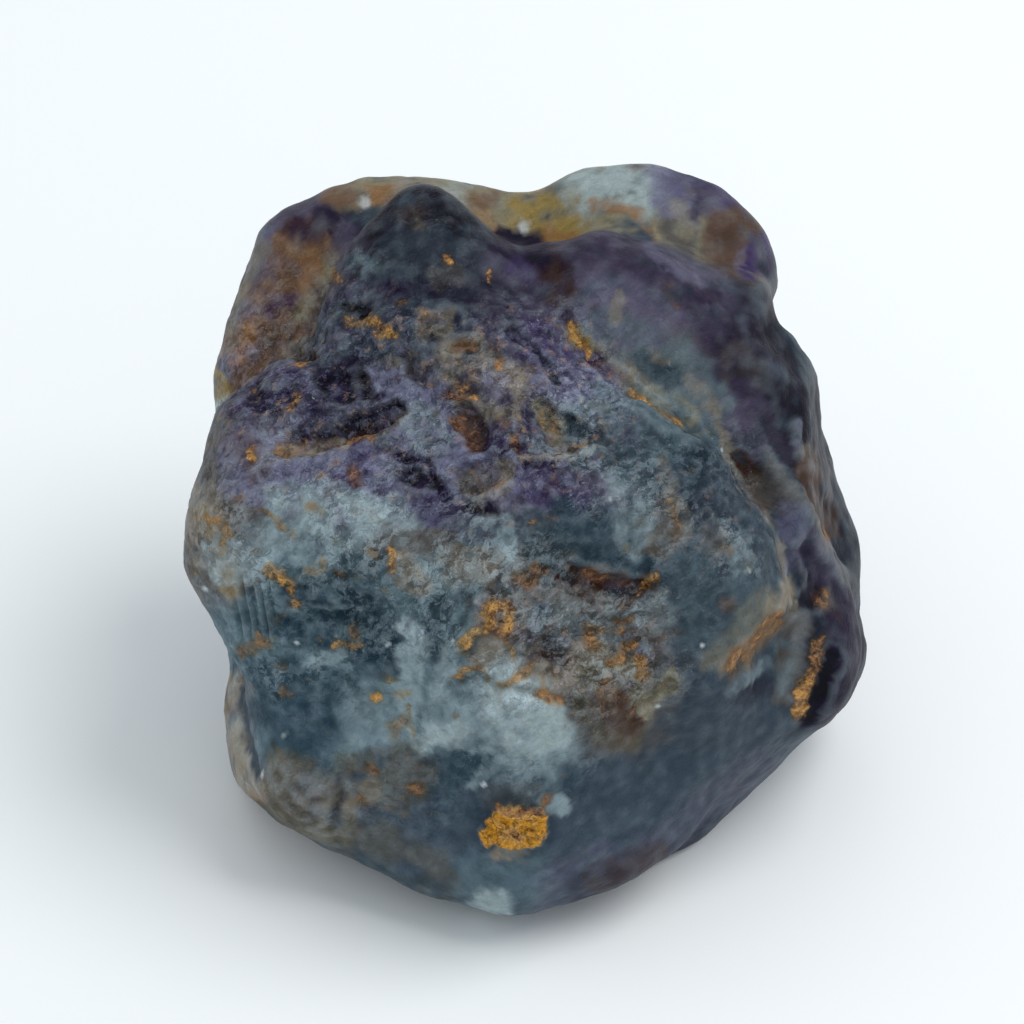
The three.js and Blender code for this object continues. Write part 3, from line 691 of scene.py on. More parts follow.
# Low relief: depth in mm (less than 0 stands out), half width and the photograph's pixels along it
RELIEF = [
    # the step under the peak, and cracks
    (0.06, 8, [(350, 302), (372, 306), (385, 298), (420, 284), (470, 292), (500, 280)]),
    (0.2, 4, [(512, 328), (530, 345), (545, 364), (556, 380)]),
    (0.2, 4, [(402, 350), (408, 368), (420, 380)]),
    (0.2, 4, [(404, 458), (426, 462), (438, 484), (446, 498)]),
    (-0.2, 6, [(462, 502), (490, 496), (508, 484)]),
    (-0.2, 5, [(515, 460), (560, 456), (602, 448)]),
    (-0.25, 7, [(320, 460), (350, 454), (390, 436)]),
    # the stained hollow's ledges
    (-0.25, 8, [(590, 602), (620, 608), (660, 598)]),
    (-0.2, 8, [(480, 602), (474, 625), (455, 648)]),
    (0.25, 5, [(450, 684), (475, 674), (500, 688), (540, 692), (580, 704)]),
    (-0.2, 6, [(560, 640), (590, 656), (610, 676)]),
    (0.25, 6, [(640, 706), (672, 684)]),
    # the boulder's crack and scores, and the edge of the low left face
    (0.09, 3.5, [(338, 780), (340, 800), (330, 830)]),
    (0.12, 3, [(276, 776), (300, 792), (322, 800)]),
    (0.12, 3, [(280, 796), (300, 812), (318, 824)]),
    (0.15, 4, [(241, 680), (246, 735), (256, 775)]),
    # the seam above the bulge, its rim and the trough behind it
    (0.25, 6, [(566, 316), (580, 342), (612, 372), (652, 402), (690, 428)]),
    (-0.2, 7, [(600, 386), (640, 412), (690, 442), (728, 464)]),
    (-0.15, 6, [(728, 462), (748, 488), (764, 510), (776, 536), (781, 575), (779, 610)]),
    (0.12, 8, [(738, 458), (754, 480), (770, 504), (786, 532)]),
    (0.15, 7, [(790, 552), (796, 580), (800, 604)]),
    # the crests and troughs of the right side
    (-0.15, 8, [(768, 455), (782, 476), (801, 500), (812, 522), (836, 562), (854, 602)]),
    (-0.1, 6, [(802, 505), (802, 530), (790, 548), (786, 572), (790, 600)]),
    (0.25, 9, [(808, 552), (818, 575), (812, 600)]),
    (0.2, 10, [(812, 480), (830, 515), (844, 552)]),
    (0.1, 9, [(760, 400), (772, 430), (786, 452)]),
    (-0.15, 6, [(796, 426), (798, 456)]),
    (0.1, 9, [(738, 380), (745, 410), (752, 440)]),
    (-0.1, 9, [(800, 620), (796, 660), (786, 694)]),
    (0.25, 7, [(832, 658), (822, 690), (810, 718)]),
    # the stained fold under the bulge
    (0.08, 8, [(776, 620), (758, 644), (734, 670), (712, 680)]),
    (-0.1, 7, [(730, 690), (748, 678), (768, 662)]),
]
# Gentle moves of the outline: out in mm, half width and the photograph's pixels along it
OUTLINE_MOVES = [
    (-0.6, 22, [(784, 322), (800, 340)]),
    (-0.25, 28, [(816, 372), (824, 410), (826, 445)]),
    (0.3, 14, [(762, 294), (765, 306)]),
    (-0.2, 26, [(850, 506), (858, 540)]),
    (0.3, 22, [(772, 262), (768, 240)]),
    (-0.3, 18, [(684, 172), (694, 176)]),
    (0.3, 30, [(525, 190), (563, 178), (604, 166), (636, 164)]),
    (-0.2, 20, [(284, 206), (292, 202)]),
    (0.15, 26, [(228, 324), (216, 370), (214, 405)]),
    (0.2, 20, [(190, 500), (192, 520)]),
    (-0.5, 26, [(262, 826), (284, 838)]),
    (0.25, 24, [(868, 580), (866, 592)]),
]
# The fine upright grooves at the left edge, in pixels, and their depth in mm
GROOVES = {"left": 236, "right": 274, "top": 578, "bottom": 640, "pitch": 8.5, "lean": 0.16, "depth": 0.12}


# Fields of points

def fractal(points, size, octaves=4, seed=0.0):
    """Cloudy noise of about -1 to 1 with lumps of the given size."""
    scaled = points / size + seed
    return np.array([noise.fractal(Vector(p), 0.9, 2.1, octaves) for p in scaled])


def fractal_pair(points, size, octaves, first, second):
    return np.stack([fractal(points, size, octaves, seed) for seed in (first, second)], 1)


def along_streaks(points, sizes):
    """The points along the streaks, across them and out, each divided by the size of the noise that way."""
    axes = zip((STREAK_ALONG, STREAK_ACROSS, OUT), sizes)
    return np.stack([points @ axis / size for axis, size in axes], 1)


def to_pixels(points, centre):
    """Where points of the stone lie in the image. The view looks at centre."""
    offset = points - centre
    scale = DISTANCE / (DISTANCE - offset @ OUT) / PIXEL
    x = IMAGE / 2 + offset @ RIGHT * scale
    y = IMAGE / 2 - offset @ UP * scale
    return np.stack([x, y], 1)


def aim(points):
    """The point that the camera looks at, so that the stone fills the photograph's box."""
    centre = points.mean(0)
    wanted = np.array([
        (STONE_PIXELS["left"] + STONE_PIXELS["right"]) / 2,
        (STONE_PIXELS["top"] + STONE_PIXELS["bottom"]) / 2,
    ])
    for _ in range(8):
        seen = to_pixels(points, centre)
        off = (seen.min(0) + seen.max(0)) / 2 - wanted
        centre = centre + RIGHT * off[0] * PIXEL - UP * off[1] * PIXEL
    return centre


def stroke(pixels, line, half_width, edge=0.55):
    """1 along a line of pixels, falling to 0 around half_width over a share of it, edge, on each side."""
    nearest = np.full(len(pixels), np.inf)
    for start, end in zip(line[:-1], line[1:]):
        a = np.array(start, float)
        along = np.array(end, float) - a
        t = np.clip((pixels - a) @ along / (along @ along), 0, 1)
        nearest = np.minimum(nearest, np.hypot(*(pixels - a - t[:, None] * along).T))
    return 1 - smooth(nearest / half_width, 1 - edge, 1 + edge)


def strongest(pixels, marks):
    """The strongest of the marks at each pixel."""
    value = np.zeros(len(pixels))
    for strength, half_width, line in marks:
        value = np.maximum(value, strength * stroke(pixels, line, half_width))
    return value


def blend(tone, colour, amount):
    """The tone with some of a colour laid over it, where amount is a number for each point."""
    return tone + (colour - tone) * amount[:, None]


# The surface

def read_mesh(obj):
    mesh = obj.data
    points = np.zeros(len(mesh.vertices) * 3)
    mesh.vertices.foreach_get("co", points)
    mesh.calc_loop_triangles()
    faces = np.zeros(len(mesh.loop_triangles) * 3, int)
    mesh.loop_triangles.foreach_get("vertices", faces)
    points = points.reshape(-1, 3)
    faces = faces.reshape(-1, 3)
    # The frame's mesh has a point of its own at each corner of each face, so like ones are joined
    keys = np.round(points / SAME_POINT).astype(int)
    _, first, where = np.unique(keys, axis=0, return_index=True, return_inverse=True)
    faces = where.reshape(-1)[faces]
    solid = (faces[:, 0] != faces[:, 1]) & (faces[:, 1] != faces[:, 2]) & (faces[:, 2] != faces[:, 0])
    return points[first], faces[solid]


def split(points, faces):
    """Each triangle cut into four at the middles of its sides."""
    sides = np.sort(faces[:, [0, 1, 1, 2, 2, 0]].reshape(-1, 2), 1)
    unique, where = np.unique(sides, axis=0, return_inverse=True)
    middles = len(points) + where.reshape(-1, 3)
    points = np.vstack([points, points[unique].mean(1)])
    a, b, c = faces.T
    ab, bc, ca = middles.T
    corners = ((a, ab, ca), (ab, b, bc), (ca, bc, c), (ab, bc, ca))
    return points, np.vstack([np.stack(three, 1) for three in corners])


class Surface:
    """A closed triangle mesh whose points can be smoothed and moved."""

    def __init__(self, points, faces):
        self.points = points
        self.faces = faces
        edges = np.sort(faces[:, [0, 1, 1, 2, 2, 0]].reshape(-1, 2), 1)
        edges = np.unique(edges, axis=0)
        self.one = np.concatenate([edges[:, 0], edges[:, 1]])
        self.other = np.concatenate([edges[:, 1], edges[:, 0]])
        self.count = np.bincount(self.one, minlength=len(points))

    def around(self, values):
        """The mean of each point's neighbours."""
        if values.ndim == 1:
            values = values[:, None]
        sums = [np.bincount(self.one, v[self.other], len(self.points)) for v in values.T]
        return np.squeeze(np.stack(sums, 1) / self.count[:, None])

    def smoothed(self, values, rounds):
        for _ in range(rounds):
            values = (values + self.around(values)) / 2
        return values

    def normals(self):
        a, b, c = (self.points[self.faces[:, k]] for k in range(3))
        across = np.cross(b - a, c - a)
        total = np.zeros_like(self.points)
        for k in range(3):
            for axis in range(3):
                total[:, axis] += np.bincount(self.faces[:, k], across[:, axis], len(self.points))
        return total / np.linalg.norm(total, axis=1, keepdims=True)

    def hollowness(self, rounds=3):
        """More than 0 in a hollow, less than 0 on an edge, measured over so many rings of points."""
        bend = self.points
        for _ in range(rounds):
            bend = self.around(bend)
        depth = np.einsum("ij,ij->i", bend - self.points, self.normals())
        return self.smoothed(depth, 1) / (FULL_HOLLOW * rounds)


class Places:
    """Where the stone's points lie in the photograph, plainly and wavered so that no mark looks drawn."""

    def __init__(self, points, normals, centre):
        self.pixels = to_pixels(points, centre)
        self.depth = (points - centre) @ OUT
        fine = fractal_pair(points, CLOUD_SIZES["fine"], 2, 11.0, 23.0)
        middling = fractal_pair(points, CLOUD_SIZES["middling"], 3, 15.0, 27.0)
        broad = fractal_pair(points, CLOUD_SIZES["broad"], 3, 5.0, 41.0)
        self.eased = self.pixels + NARROW_WAVER["middling"] * middling
        self.marked = self.eased + NARROW_WAVER["fine"] * fine
        self.loose = (
            self.pixels
            + BROAD_WAVER["fine"] * fine
            + BROAD_WAVER["middling"] * middling
            + BROAD_WAVER["broad"] * broad
        )
        self.patches = [fractal(points, PATCH_SIZE, 5, seed) for seed in PATCH_SEEDS]
        self.shown = smooth(normals @ OUT, *SHOWN)
        self.squarely = smooth(normals @ OUT, *SHOWN_SQUARELY)

    def for_width(self, half_width):
        """Broad marks waver more than narrow ones."""
        share = min(1, half_width / BROAD_MARK)
        return self.marked + (self.loose - self.marked) * share

    def behind(self):
        """1 on the body behind and 0 on the rest, as far as the photograph shows them."""
        x, y = self.pixels.T
        edge = np.interp(x, *np.array(FRONT_EDGE, float).T)
        above = 1 - smooth(y - edge, 0, FRONT_EDGE_REACH)
        return above * (1 - smooth(self.depth, 0.6 * REAR_DEPTH, 1.4 * REAR_DEPTH))

    def crust(self):
        """1 on the bright crust and 0 off it."""
        return stroke(self.marked, CRUST, CRUST_WIDTH, 0.3) * self.shown


# Relief

def between(value, low, high, soft):
    """1 from low to high, falling to 0 around them over soft on each side."""
    return smooth(value, low - soft, low + soft) * (1 - smooth(value, high - soft, high + soft))


def grooves(pixels):
    """The height of the fine grooves in mm."""
    x, y = pixels.T
    inside = between(x, GROOVES["left"], GROOVES["right"], 4)
    inside = inside * between(y, GROOVES["top"], GROOVES["bottom"], 8)
    across = x - GROOVES["lean"] * y
    return GROOVES["depth"] * inside * np.cos(2 * np.pi * across / GROOVES["pitch"])


def relief(points, places, broken, frosted):
    """How far each point moves out, in mm."""
    streaks = fractal(along_streaks(points, STREAK_SIZE), 1.0, 3, 3.0)
    vugs = fractal(points, 1.3 * MM, 4, 9.0)
    lumps = fractal(points, 3.4 * MM, 4, 2.0)
    grain = fractal(points, 0.55 * MM, 2, 7.0)
    move = LUMP_HEIGHT * lumps + GRAIN_HEIGHT * grain * (0.15 + 0.85 * broken)
    move += VUG_HEIGHT * broken * (1 - 0.6 * frosted) * (vugs - 0.5 * np.abs(vugs))
    move += STREAK_HEIGHT * broken * frosted * streaks
    for out, half_width, line in OUTLINE_MOVES:
        move += out * stroke(places.pixels, line, half_width, 1.0)
    for depth, half_width, line in PITS:
        pit = stroke(places.marked, line, half_width, 0.4)
        above = stroke(places.marked + [0, 1.3 * half_width], line, 0.6 * half_width, 0.6)
        move += PIT_DEPTH * depth * places.shown * (LIP * above * (1 - pit) - pit)
    for depth, half_width, line in RELIEF:
        move -= depth * places.shown * stroke(places.eased, line, half_width)
    move += places.shown * grooves(places.pixels)
    return move + places.crust() * (CRUST_HEIGHT + CRUST_GRAIN * grain)


# Colour

def back_tone(points):
    """The sides and the back, which the photograph doesn't show: clouds of the same colours."""
    broad = fractal(points, 9 * MM, 3, 61.0)
    tone = np.tile(SLATE, (len(points), 1))
    tone = blend(tone, (VIOLET + MAUVE) / 2, smooth(broad, -0.05, 0.3))
    tone = blend(tone, TEAL, smooth(-broad, 0.05, 0.4))
    tone = blend(tone, BROWN, 0.6 * smooth(fractal(points, 6 * MM, 4, 83.0), 0.1, 0.5))
    tone = blend(tone, PALE, 0.5 * smooth(fractal(points, 4 * MM, 4, 73.0), 0.25, 0.6))
    return blend(tone, NIGHT, 0.7 * smooth(-fractal(points, 5 * MM, 4, 93.0), 0.2, 0.55))


def painted(base, tones, places):
    """The base colour with the tones laid over it in turn, each with ragged patches at its rim."""
    colours = base
    for number, (colour, amount, half_width, line) in enumerate(tones):
        patch = places.patches[number % len(places.patches)]
        here = stroke(places.for_width(half_width), line, half_width)
        ragged = np.clip(here * (1 + 1.2 * (1 - here) + PATCHINESS * patch), 0, 1)
        colours = blend(colours, colour, amount * ragged)
    return colours


def glints(places):
    """1 at the middle of each painted glint, falling to 0 around its width."""
    value = np.zeros(len(places.pixels))
    for width, spots in ((GLINT_WIDTH, GLINTS), (BLURRED_GLINT_WIDTH, BLURRED_GLINTS)):
        for spot in spots:
            away = np.hypot(*(places.pixels - spot).T) / width
            value = np.maximum(value, 1 - smooth(away, 0.4, 1.6))
    return value * places.squarely


def broad_light(points):
    """The share of light that broad faces lie in: those that look to the softbox have more."""
    outward = points - points.mean(0)
    to_softbox = np.array(SOFTBOX["place"]) / np.linalg.norm(SOFTBOX["place"])
    facing = outward @ to_softbox / np.linalg.norm(outward, axis=1)
    return DIM + (BRIGHT - DIM) * smooth(facing, -0.8, 0.6)


def stone_tone(points, places, broken, hollow):
    """The stone's own colour with painted glints, painted shade in its hollows and a partly painted
    highlight on its edges, without its finest grain and its stains.
    """
    slate = np.tile(SLATE, (len(points), 1))
    front = painted(slate, FRONT_TONES, places)
    rear = painted(slate, REAR_TONES, places)
    front = blend(front, rear, places.behind())
    tone = blend(back_tone(points), front, places.shown)
    blotch = fractal(points, 2.2 * MM, 5, 31.0)
    tone = tone * (1 + BLOTCHES * blotch * (0.4 + 0.6 * broken))[:, None]
    # pale edges: partly wear, partly a painted highlight that brings out the relief
    tone = blend(tone, FROST_AND_HIGHLIGHT, EDGE_WEAR_AND_HIGHLIGHT * np.clip(-hollow, 0, 1))
    # painted shade in the hollows
    tone = tone * (1 - HOLLOW_SHADE * np.clip(hollow, 0, 1))[:, None]
    # painted glints
    tone = blend(tone, GLINT, GLINT_STRENGTH * glints(places))
    return own(tone, broad_light(points)[:, None])


def stains(points, places, broken, hollow):
    """How strong the iron stain is at each point, and its hue: 0 is red brown, 1 gold and past it ochre."""
    strength = np.zeros(len(points))
    hue = np.zeros(len(points))
    for orange, amount, half_width, line in STAINS:
        here = amount * stroke(places.marked, line, 1.1 * half_width, 0.8)
        hue = np.where(here > strength, orange, hue)
        strength = np.maximum(strength, here)
    strength = strength * places.shown
    crust = places.crust()
    # the crust's upper edge: a dark red-brown stain that stands for painted shade
    edge = stroke(places.marked, CRUST_SHADE_EDGE, CRUST_EDGE_WIDTH, 0.6) * places.shown
    core = stroke(places.marked, CRUST_CORE, CRUST_EDGE_WIDTH, 0.6)
    hue = np.where(crust > strength, CRUST_HUE - np.maximum(core, edge), hue)
    hue = np.where(edge > np.maximum(crust, strength), CRUST_EDGE_HUE, hue)
    strength = np.maximum(strength, np.maximum(1.6 * crust, 0.9 * edge))
    # Unseen sides have stains of the same kind, in their hollows
    rust = smooth(fractal(points, 2.0 * MM, 5, 97.0) + 0.3 * np.clip(hollow, 0, 1), 0.4, 0.8)
    hue = np.where(places.shown < 0.5, 0.5 + fractal(points, 3 * MM, 2, 13.0), hue)
    strength = np.maximum(strength, 0.85 * rust * (1 - places.shown))
    # Thin rust lies in the hollows of the broken places
    thin = smooth(fractal(points, 1.8 * MM, 3, 57.0), 0.1, 0.6)
    strength = np.maximum(strength, 0.45 * broken * thin * (0.4 + np.clip(hollow, 0, 0.6)))
    return strength, np.clip(hue, 0, 1.4)


def main():
    cad_points, cad_faces = read_mesh(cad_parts[NODE])
    centre = aim(cad_points)
    surface = Surface(*split(*split(cad_points, cad_faces)))
    surface.points = surface.smoothed(surface.points, SMOOTHING_ROUNDS)
    points = surface.points
    normals = surface.normals()
    places = Places(points, normals, centre)

    unseen = (0.5 + 0.5 * fractal(points, 6 * MM, 3, 19.0)) * (1 - places.shown)
    broken = np.clip(strongest(places.loose, BROKEN) * places.shown + unseen, 0, 1)
    frosted = strongest(places.loose, FROSTED) * places.shown
    mottled = np.clip(strongest(places.loose, MOTTLED) * places.shown + 0.6 * unseen, 0, 1)

    move = relief(points, places, broken, frosted)
    broad_hollow = surface.hollowness()
    above_floor = smooth(points[:, 2], 0.0, FOOT_HEIGHT)
    surface.points = points + normals * (move * above_floor * MM)[:, None]
    surface.points[:, 2] = np.maximum(surface.points[:, 2], 0)

    hollow = np.clip(surface.hollowness() - broad_hollow, -1.5, 1.5)
    stain, hue = stains(points, places, broken, hollow)
    stone = make_mesh(surface, {
        "tone": stone_tone(points, places, broken, hollow),
        "marks": np.stack([stain, hue, broken], 1),
        "grain": np.stack([frosted, mottled, np.clip(hollow, 0, 1)], 1),
    })
    stone.data.materials.append(fluorite())
    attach(stone, "root")
    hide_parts(NODE)
    make_camera(centre)
    make_floor()
    make_lights()


def make_mesh(surface, colours):
    mesh = bpy.data.meshes.new("fluorite_stone")
    mesh.from_pydata(surface.points.tolist(), [], surface.faces.tolist())
    mesh.shade_smooth()
    for name, values in colours.items():
        layer = mesh.color_attributes.new(name, "FLOAT_COLOR", "POINT")
        rgba = np.ones((len(surface.points), 4))
        rgba[:, :3] = values
        layer.data.foreach_set("color", rgba.ravel())
    stone = bpy.data.objects.new("fluorite_stone", mesh)
    bpy.context.scene.collection.objects.link(stone)
    return stone


# Materials

class Nodes:
    """Adds nodes to a material and links them. Sockets, numbers and colours all do as inputs."""

    def __init__(self, name):
        self.material = bpy.data.materials.new(name)
        self.material.use_nodes = True
        self.tree = self.material.node_tree
        self.tree.nodes.clear()

    def feed(self, socket, value):
        if isinstance(value, bpy.types.NodeSocket):
            self.tree.links.new(value, socket)
        elif isinstance(value, (int, float)):
            socket.default_value = value
        else:
            socket.default_value = (*value, 1) if len(socket.default_value) == 4 else value

    def add(self, kind, inputs, **settings):
        node = self.tree.nodes.new(kind)
        for name, value in settings.items():
            setattr(node, name, value)
        for name, value in inputs.items():
            self.feed(node.inputs[name], value)
        return node

    def calculate(self, operation, first, second, third=0.0):
        inputs = {0: first, 1: second, 2: third}
        return self.add("ShaderNodeMath", inputs, operation=operation).outputs[0]

    def times(self, first, second):
        return self.calculate("MULTIPLY", first, second)

    def weighted(self, *pairs):
        """The sum of values, each times its weight."""
        total = 0.0
        for value, weight in pairs:
            total = self.calculate("MULTIPLY_ADD", value, weight, total)
        return total

    def scale(self, vector, factor):
        node = self.add("ShaderNodeVectorMath", {0: vector}, operation="SCALE")
        self.feed(node.inputs["Scale"], factor)
        return node.outputs[0]

    def shift(self, vector, offset):
        return self.add("ShaderNodeVectorMath", {0: vector, 1: offset}, operation="ADD").outputs[0]

    def mix(self, amount, first, second, blend_type="MIX"):
        node = self.tree.nodes.new("ShaderNodeMix")
        node.data_type = "RGBA"
        node.blend_type = blend_type
        sockets = {socket.identifier: socket for socket in node.inputs}
        self.feed(sockets["Factor_Float"], amount)
        self.feed(sockets["A_Color"], first)
        self.feed(sockets["B_Color"], second)
        return next(s for s in node.outputs if s.identifier == "Result_Color")

    def ramp(self, value, low, high, to_low=0.0, to_high=1.0):
        """Goes smoothly from to_low at low to to_high at high."""
        inputs = {"Value": value, "From Min": low, "From Max": high, "To Min": to_low, "To Max": to_high}
        return self.add("ShaderNodeMapRange", inputs, interpolation_type="SMOOTHSTEP").outputs["Result"]

    def clouds(self, vector, size, detail, rough=0.6, output="Fac"):
        """Noise of about 0.3 to 0.7 whose lumps have the given size."""
        inputs = {"Vector": vector, "Scale": 1 / size, "Detail": detail, "Roughness": rough}
        return self.add("ShaderNodeTexNoise", inputs).outputs[output]

    def attribute(self, name):
        """A colour attribute of the mesh, whole and as its three values."""
        colour = self.add("ShaderNodeAttribute", {}, attribute_name=name).outputs["Color"]
        return colour, self.add("ShaderNodeSeparateColor", {"Color": colour}).outputs


class Grain:
    """The fine broken grain in a material: facets, streaks and clouds, its strength and its height."""

    def __init__(self, nodes, broken):
        place = nodes.add("ShaderNodeTexCoord", {}).outputs["Object"]
        swirl = nodes.clouds(place, 0.6 * MM, 3, output="Color")
        swirl = nodes.scale(nodes.shift(swirl, (-0.5, -0.5, -0.5)), 0.8 * MM)
        uneven = nodes.shift(place, swirl)
        axes = Matrix((STREAK_ALONG, STREAK_ACROSS, OUT)).transposed().to_euler()
        mapping = nodes.add("ShaderNodeMapping", {"Vector": uneven}, vector_type="TEXTURE")
        mapping.inputs["Rotation"].default_value = axes
        mapping.inputs["Scale"].default_value = FACET_SIZE
        in_facets = mapping.outputs["Vector"]
        voronoi = {"Vector": in_facets, "Scale": 1.0, "Detail": 2.0, "Roughness": 0.6, "Lacunarity": 2.3}
        facets = nodes.add("ShaderNodeTexVoronoi", voronoi).outputs
        self.facet = nodes.add("ShaderNodeSeparateColor", {"Color": facets["Color"]}).outputs[0]
        self.from_middle = facets["Distance"]

        self.streaked = nodes.clouds(in_facets, 0.7, 3, 0.62)
        self.fine = nodes.clouds(uneven, 0.16 * MM, 3)
        self.middling = nodes.clouds(place, 0.55 * MM, 4, 0.65)
        self.other = nodes.clouds(nodes.shift(uneven, (0.05, 0.02, 0.03)), 0.5 * MM, 4, 0.7)
        # The grain comes and goes over a few millimetres
        patches = nodes.clouds(nodes.shift(place, (0.02, 0.07, 0.01)), 2.0 * MM, 4)
        self.patches = nodes.ramp(patches, 0.4, 0.6, 0.25, 1.0)
        self.strength = nodes.times(broken, self.patches)
        self.height = nodes.weighted(
            (self.facet, 0.2), (self.streaked, 0.5), (self.fine, 0.25), (self.middling, 0.35),
        )


def mottling(nodes, grain, tone, mottled):
    """The tone with dark violet and pale lavender patches and a few tan flecks."""
    darker = nodes.mix(0.5, nodes.scale(tone, 0.6), own(DARK_VIOLET))
    paler = nodes.mix(0.6, tone, own(LAVENDER * 1.3))
    tan = nodes.mix(0.6, tone, own(TAN))
    layers = (
        (0.8, nodes.ramp(grain.other, 0.5, 0.38), darker),
        (0.6, nodes.ramp(grain.other, 0.53, 0.64), paler),
        (0.7, nodes.ramp(grain.middling, 0.58, 0.66), tan),
    )
    colour = tone
    for amount, where, layer in layers:
        colour = nodes.mix(nodes.times(nodes.times(where, mottled), amount), colour, layer)
    return colour


def broken_up(nodes, grain, colour, frosted):
    """The colour on the grain, with painted light: facets and streaks lighter or darker as painted shading,
    painted shade in its low places, frost on its heights that is partly a painted highlight, and painted
    glints.
    """
    spread = nodes.ramp(grain.strength, 0, 1, 0.4, 1.0)
    # painted shading: the grain's facets and streaks made lighter or darker in place of light on its relief
    light = nodes.weighted((grain.facet, 0.45), (grain.streaked, 0.9), (grain.fine, 1.1), (1.0, -1.22))
    colour = nodes.scale(colour, nodes.calculate("MULTIPLY_ADD", light, spread, 1.0))
    # painted shade in the low places of the grain
    dark = nodes.times(grain.strength, nodes.ramp(frosted, 0, 1, 0.25, 0.12))
    dark = nodes.times(nodes.ramp(grain.height, 0.62, 0.5), nodes.calculate("ADD", dark, 0.06))
    colour = nodes.mix(dark, colour, nodes.scale(colour, 0.4))
    # frost on the grain's heights: partly real frost, partly a painted highlight
    frost_and_highlight = nodes.weighted((nodes.times(frosted, grain.patches), 0.6), (grain.strength, 0.15))
    frost_and_highlight = nodes.times(nodes.ramp(grain.height, 0.68, 0.84), frost_and_highlight)
    colour = nodes.mix(frost_and_highlight, colour, nodes.mix(0.6, nodes.scale(colour, 1.5), own(FROST_AND_HIGHLIGHT)))
    # Painted glints on little facets that catch the light
    painted_sparkle = nodes.ramp(nodes.weighted((grain.fine, 0.6), (grain.streaked, 0.4)), 0.6, 0.68)
    painted_sparkle = nodes.times(nodes.times(painted_sparkle, grain.strength), 0.5)
    return nodes.mix(painted_sparkle, colour, own(FROST_AND_HIGHLIGHT))


def stained(nodes, grain, colour, stain, hue):
    """The colour under iron stains, and how thick the stains are.

    A stain has a thin halo that lets the stone through, a dark rim and a core that breaks up.
    """
    torn = nodes.weighted((grain.middling, 1.5), (grain.fine, 0.6), (grain.other, 0.9), (1.0, -1.5))
    field = nodes.calculate("ADD", stain, torn)
    colour = nodes.mix(nodes.ramp(field, 0.1, 0.75, 0.0, 0.75), colour, HALO, "MULTIPLY")
    high = nodes.ramp(grain.height, 0.5, 0.8)
    red, gold, ochre = (nodes.mix(high, own(low), own(top)) for low, top in (RED_IRON, GOLD_IRON, OCHRE))
    hue = nodes.weighted((hue, 1.0), (grain.middling, 1.4), (1.0, -0.7))
    iron = nodes.mix(nodes.ramp(hue, 0.1, 0.95), red, gold)
    iron = nodes.mix(nodes.ramp(hue, 1.0, 1.4), iron, ochre)
    iron = nodes.scale(iron, nodes.weighted((grain.fine, 2.0), (grain.streaked, 1.6), (1.0, -0.8)))
    iron = nodes.mix(nodes.ramp(field, 0.85, 0.45, 0.0, 0.5), iron, own(IRON_RIM))
    core = nodes.ramp(field, 0.4, 1.5, 0.0, 0.92)
    return nodes.mix(core, colour, iron), core


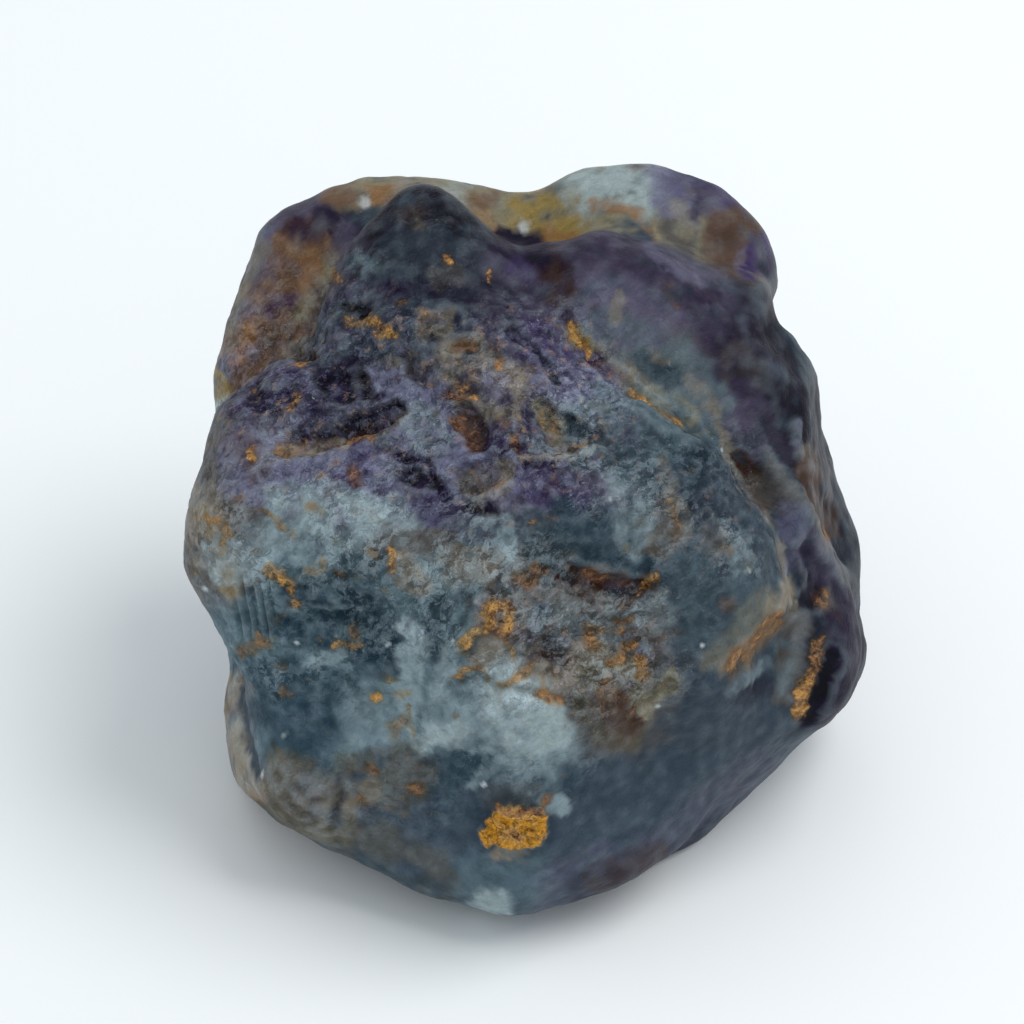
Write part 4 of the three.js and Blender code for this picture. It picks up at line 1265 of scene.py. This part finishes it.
def fluorite():
    """Waxy, cloudy stone: its tones, mottling, fine broken grain with its painted shading and glints, and
    iron stains.
    """
    nodes = Nodes("fluorite")
    tone, _ = nodes.attribute("tone")
    _, (stain, hue, broken) = nodes.attribute("marks")
    _, (frosted, mottled, hollow) = nodes.attribute("grain")
    grain = Grain(nodes, broken)
    colour = mottling(nodes, grain, tone, mottled)
    colour = broken_up(nodes, grain, colour, frosted)
    colour, iron = stained(nodes, grain, colour, stain, hue)

    # Relief finer than the mesh
    height = nodes.weighted(
        (grain.from_middle, -0.5), (grain.streaked, 1.2), (grain.fine, 0.5), (grain.middling, 0.8),
    )
    height = nodes.times(height, nodes.ramp(grain.strength, 0, 1, 0.2, 1.0))
    bump = nodes.add("ShaderNodeBump", {"Strength": 0.9, "Distance": BUMP_DEPTH, "Height": height})
    satin = nodes.ramp(grain.strength, 0, 1, 0.42, 0.5)
    shader = nodes.add("ShaderNodeBsdfPrincipled", {
        "Base Color": colour,
        "Normal": bump.outputs["Normal"],
        "Roughness": nodes.weighted((satin, 1.0), (iron, 0.3), (hollow, 0.2)),
        "IOR": FLUORITE_IOR,
        "Specular IOR Level": 0.1,
    })
    nodes.add("ShaderNodeOutputMaterial", {"Surface": shader.outputs["BSDF"]})
    return nodes.material


def plain(name, colour, roughness):
    nodes = Nodes(name)
    shader = nodes.add("ShaderNodeBsdfPrincipled", {"Base Color": colour, "Roughness": roughness})
    nodes.add("ShaderNodeOutputMaterial", {"Surface": shader.outputs["BSDF"]})
    return nodes.material


# The stage

def make_camera(centre):
    data = bpy.data.cameras.new("camera")
    data.sensor_width = SENSOR / MM
    data.lens = SENSOR / MM * DISTANCE / (IMAGE * PIXEL)
    data.clip_start = 0.01
    data.clip_end = 10
    camera = bpy.data.objects.new("camera", data)
    bpy.context.scene.collection.objects.link(camera)
    axes = Matrix((RIGHT, UP, OUT)).transposed().to_4x4()
    camera.matrix_world = Matrix.Translation(centre + OUT * DISTANCE) @ axes
    bpy.context.scene.camera = camera


def make_floor():
    mesh = bpy.data.meshes.new("floor")
    corners = [(x * FLOOR_HALF, y * FLOOR_HALF, 0) for x, y in ((-1, -1), (1, -1), (1, 1), (-1, 1))]
    mesh.from_pydata(corners, [], [(0, 1, 2, 3)])
    floor = bpy.data.objects.new("floor", mesh)
    bpy.context.scene.collection.objects.link(floor)
    mesh.materials.append(plain("floor", FLOOR_COLOUR, 0.9))


def make_lights():
    world = bpy.data.worlds.new("sky")
    bpy.context.scene.world = world
    world.use_nodes = True
    sky = world.node_tree.nodes["Background"]
    sky.inputs["Color"].default_value = (*SKY["colour"], 1)
    sky.inputs["Strength"].default_value = SKY["strength"]
    data = bpy.data.lights.new("softbox", "AREA")
    data.shape = "DISK"
    data.size = SOFTBOX["size"]
    data.energy = SOFTBOX["watts"]
    data.color = SOFTBOX["colour"]
    lamp = bpy.data.objects.new("softbox", data)
    lamp.location = SOFTBOX["place"]
    lamp.rotation_euler = Vector(lamp.location).to_track_quat("Z", "Y").to_euler()
    bpy.context.scene.collection.objects.link(lamp)


main()
bpy.context.scene.view_settings.view_transform = "Standard"
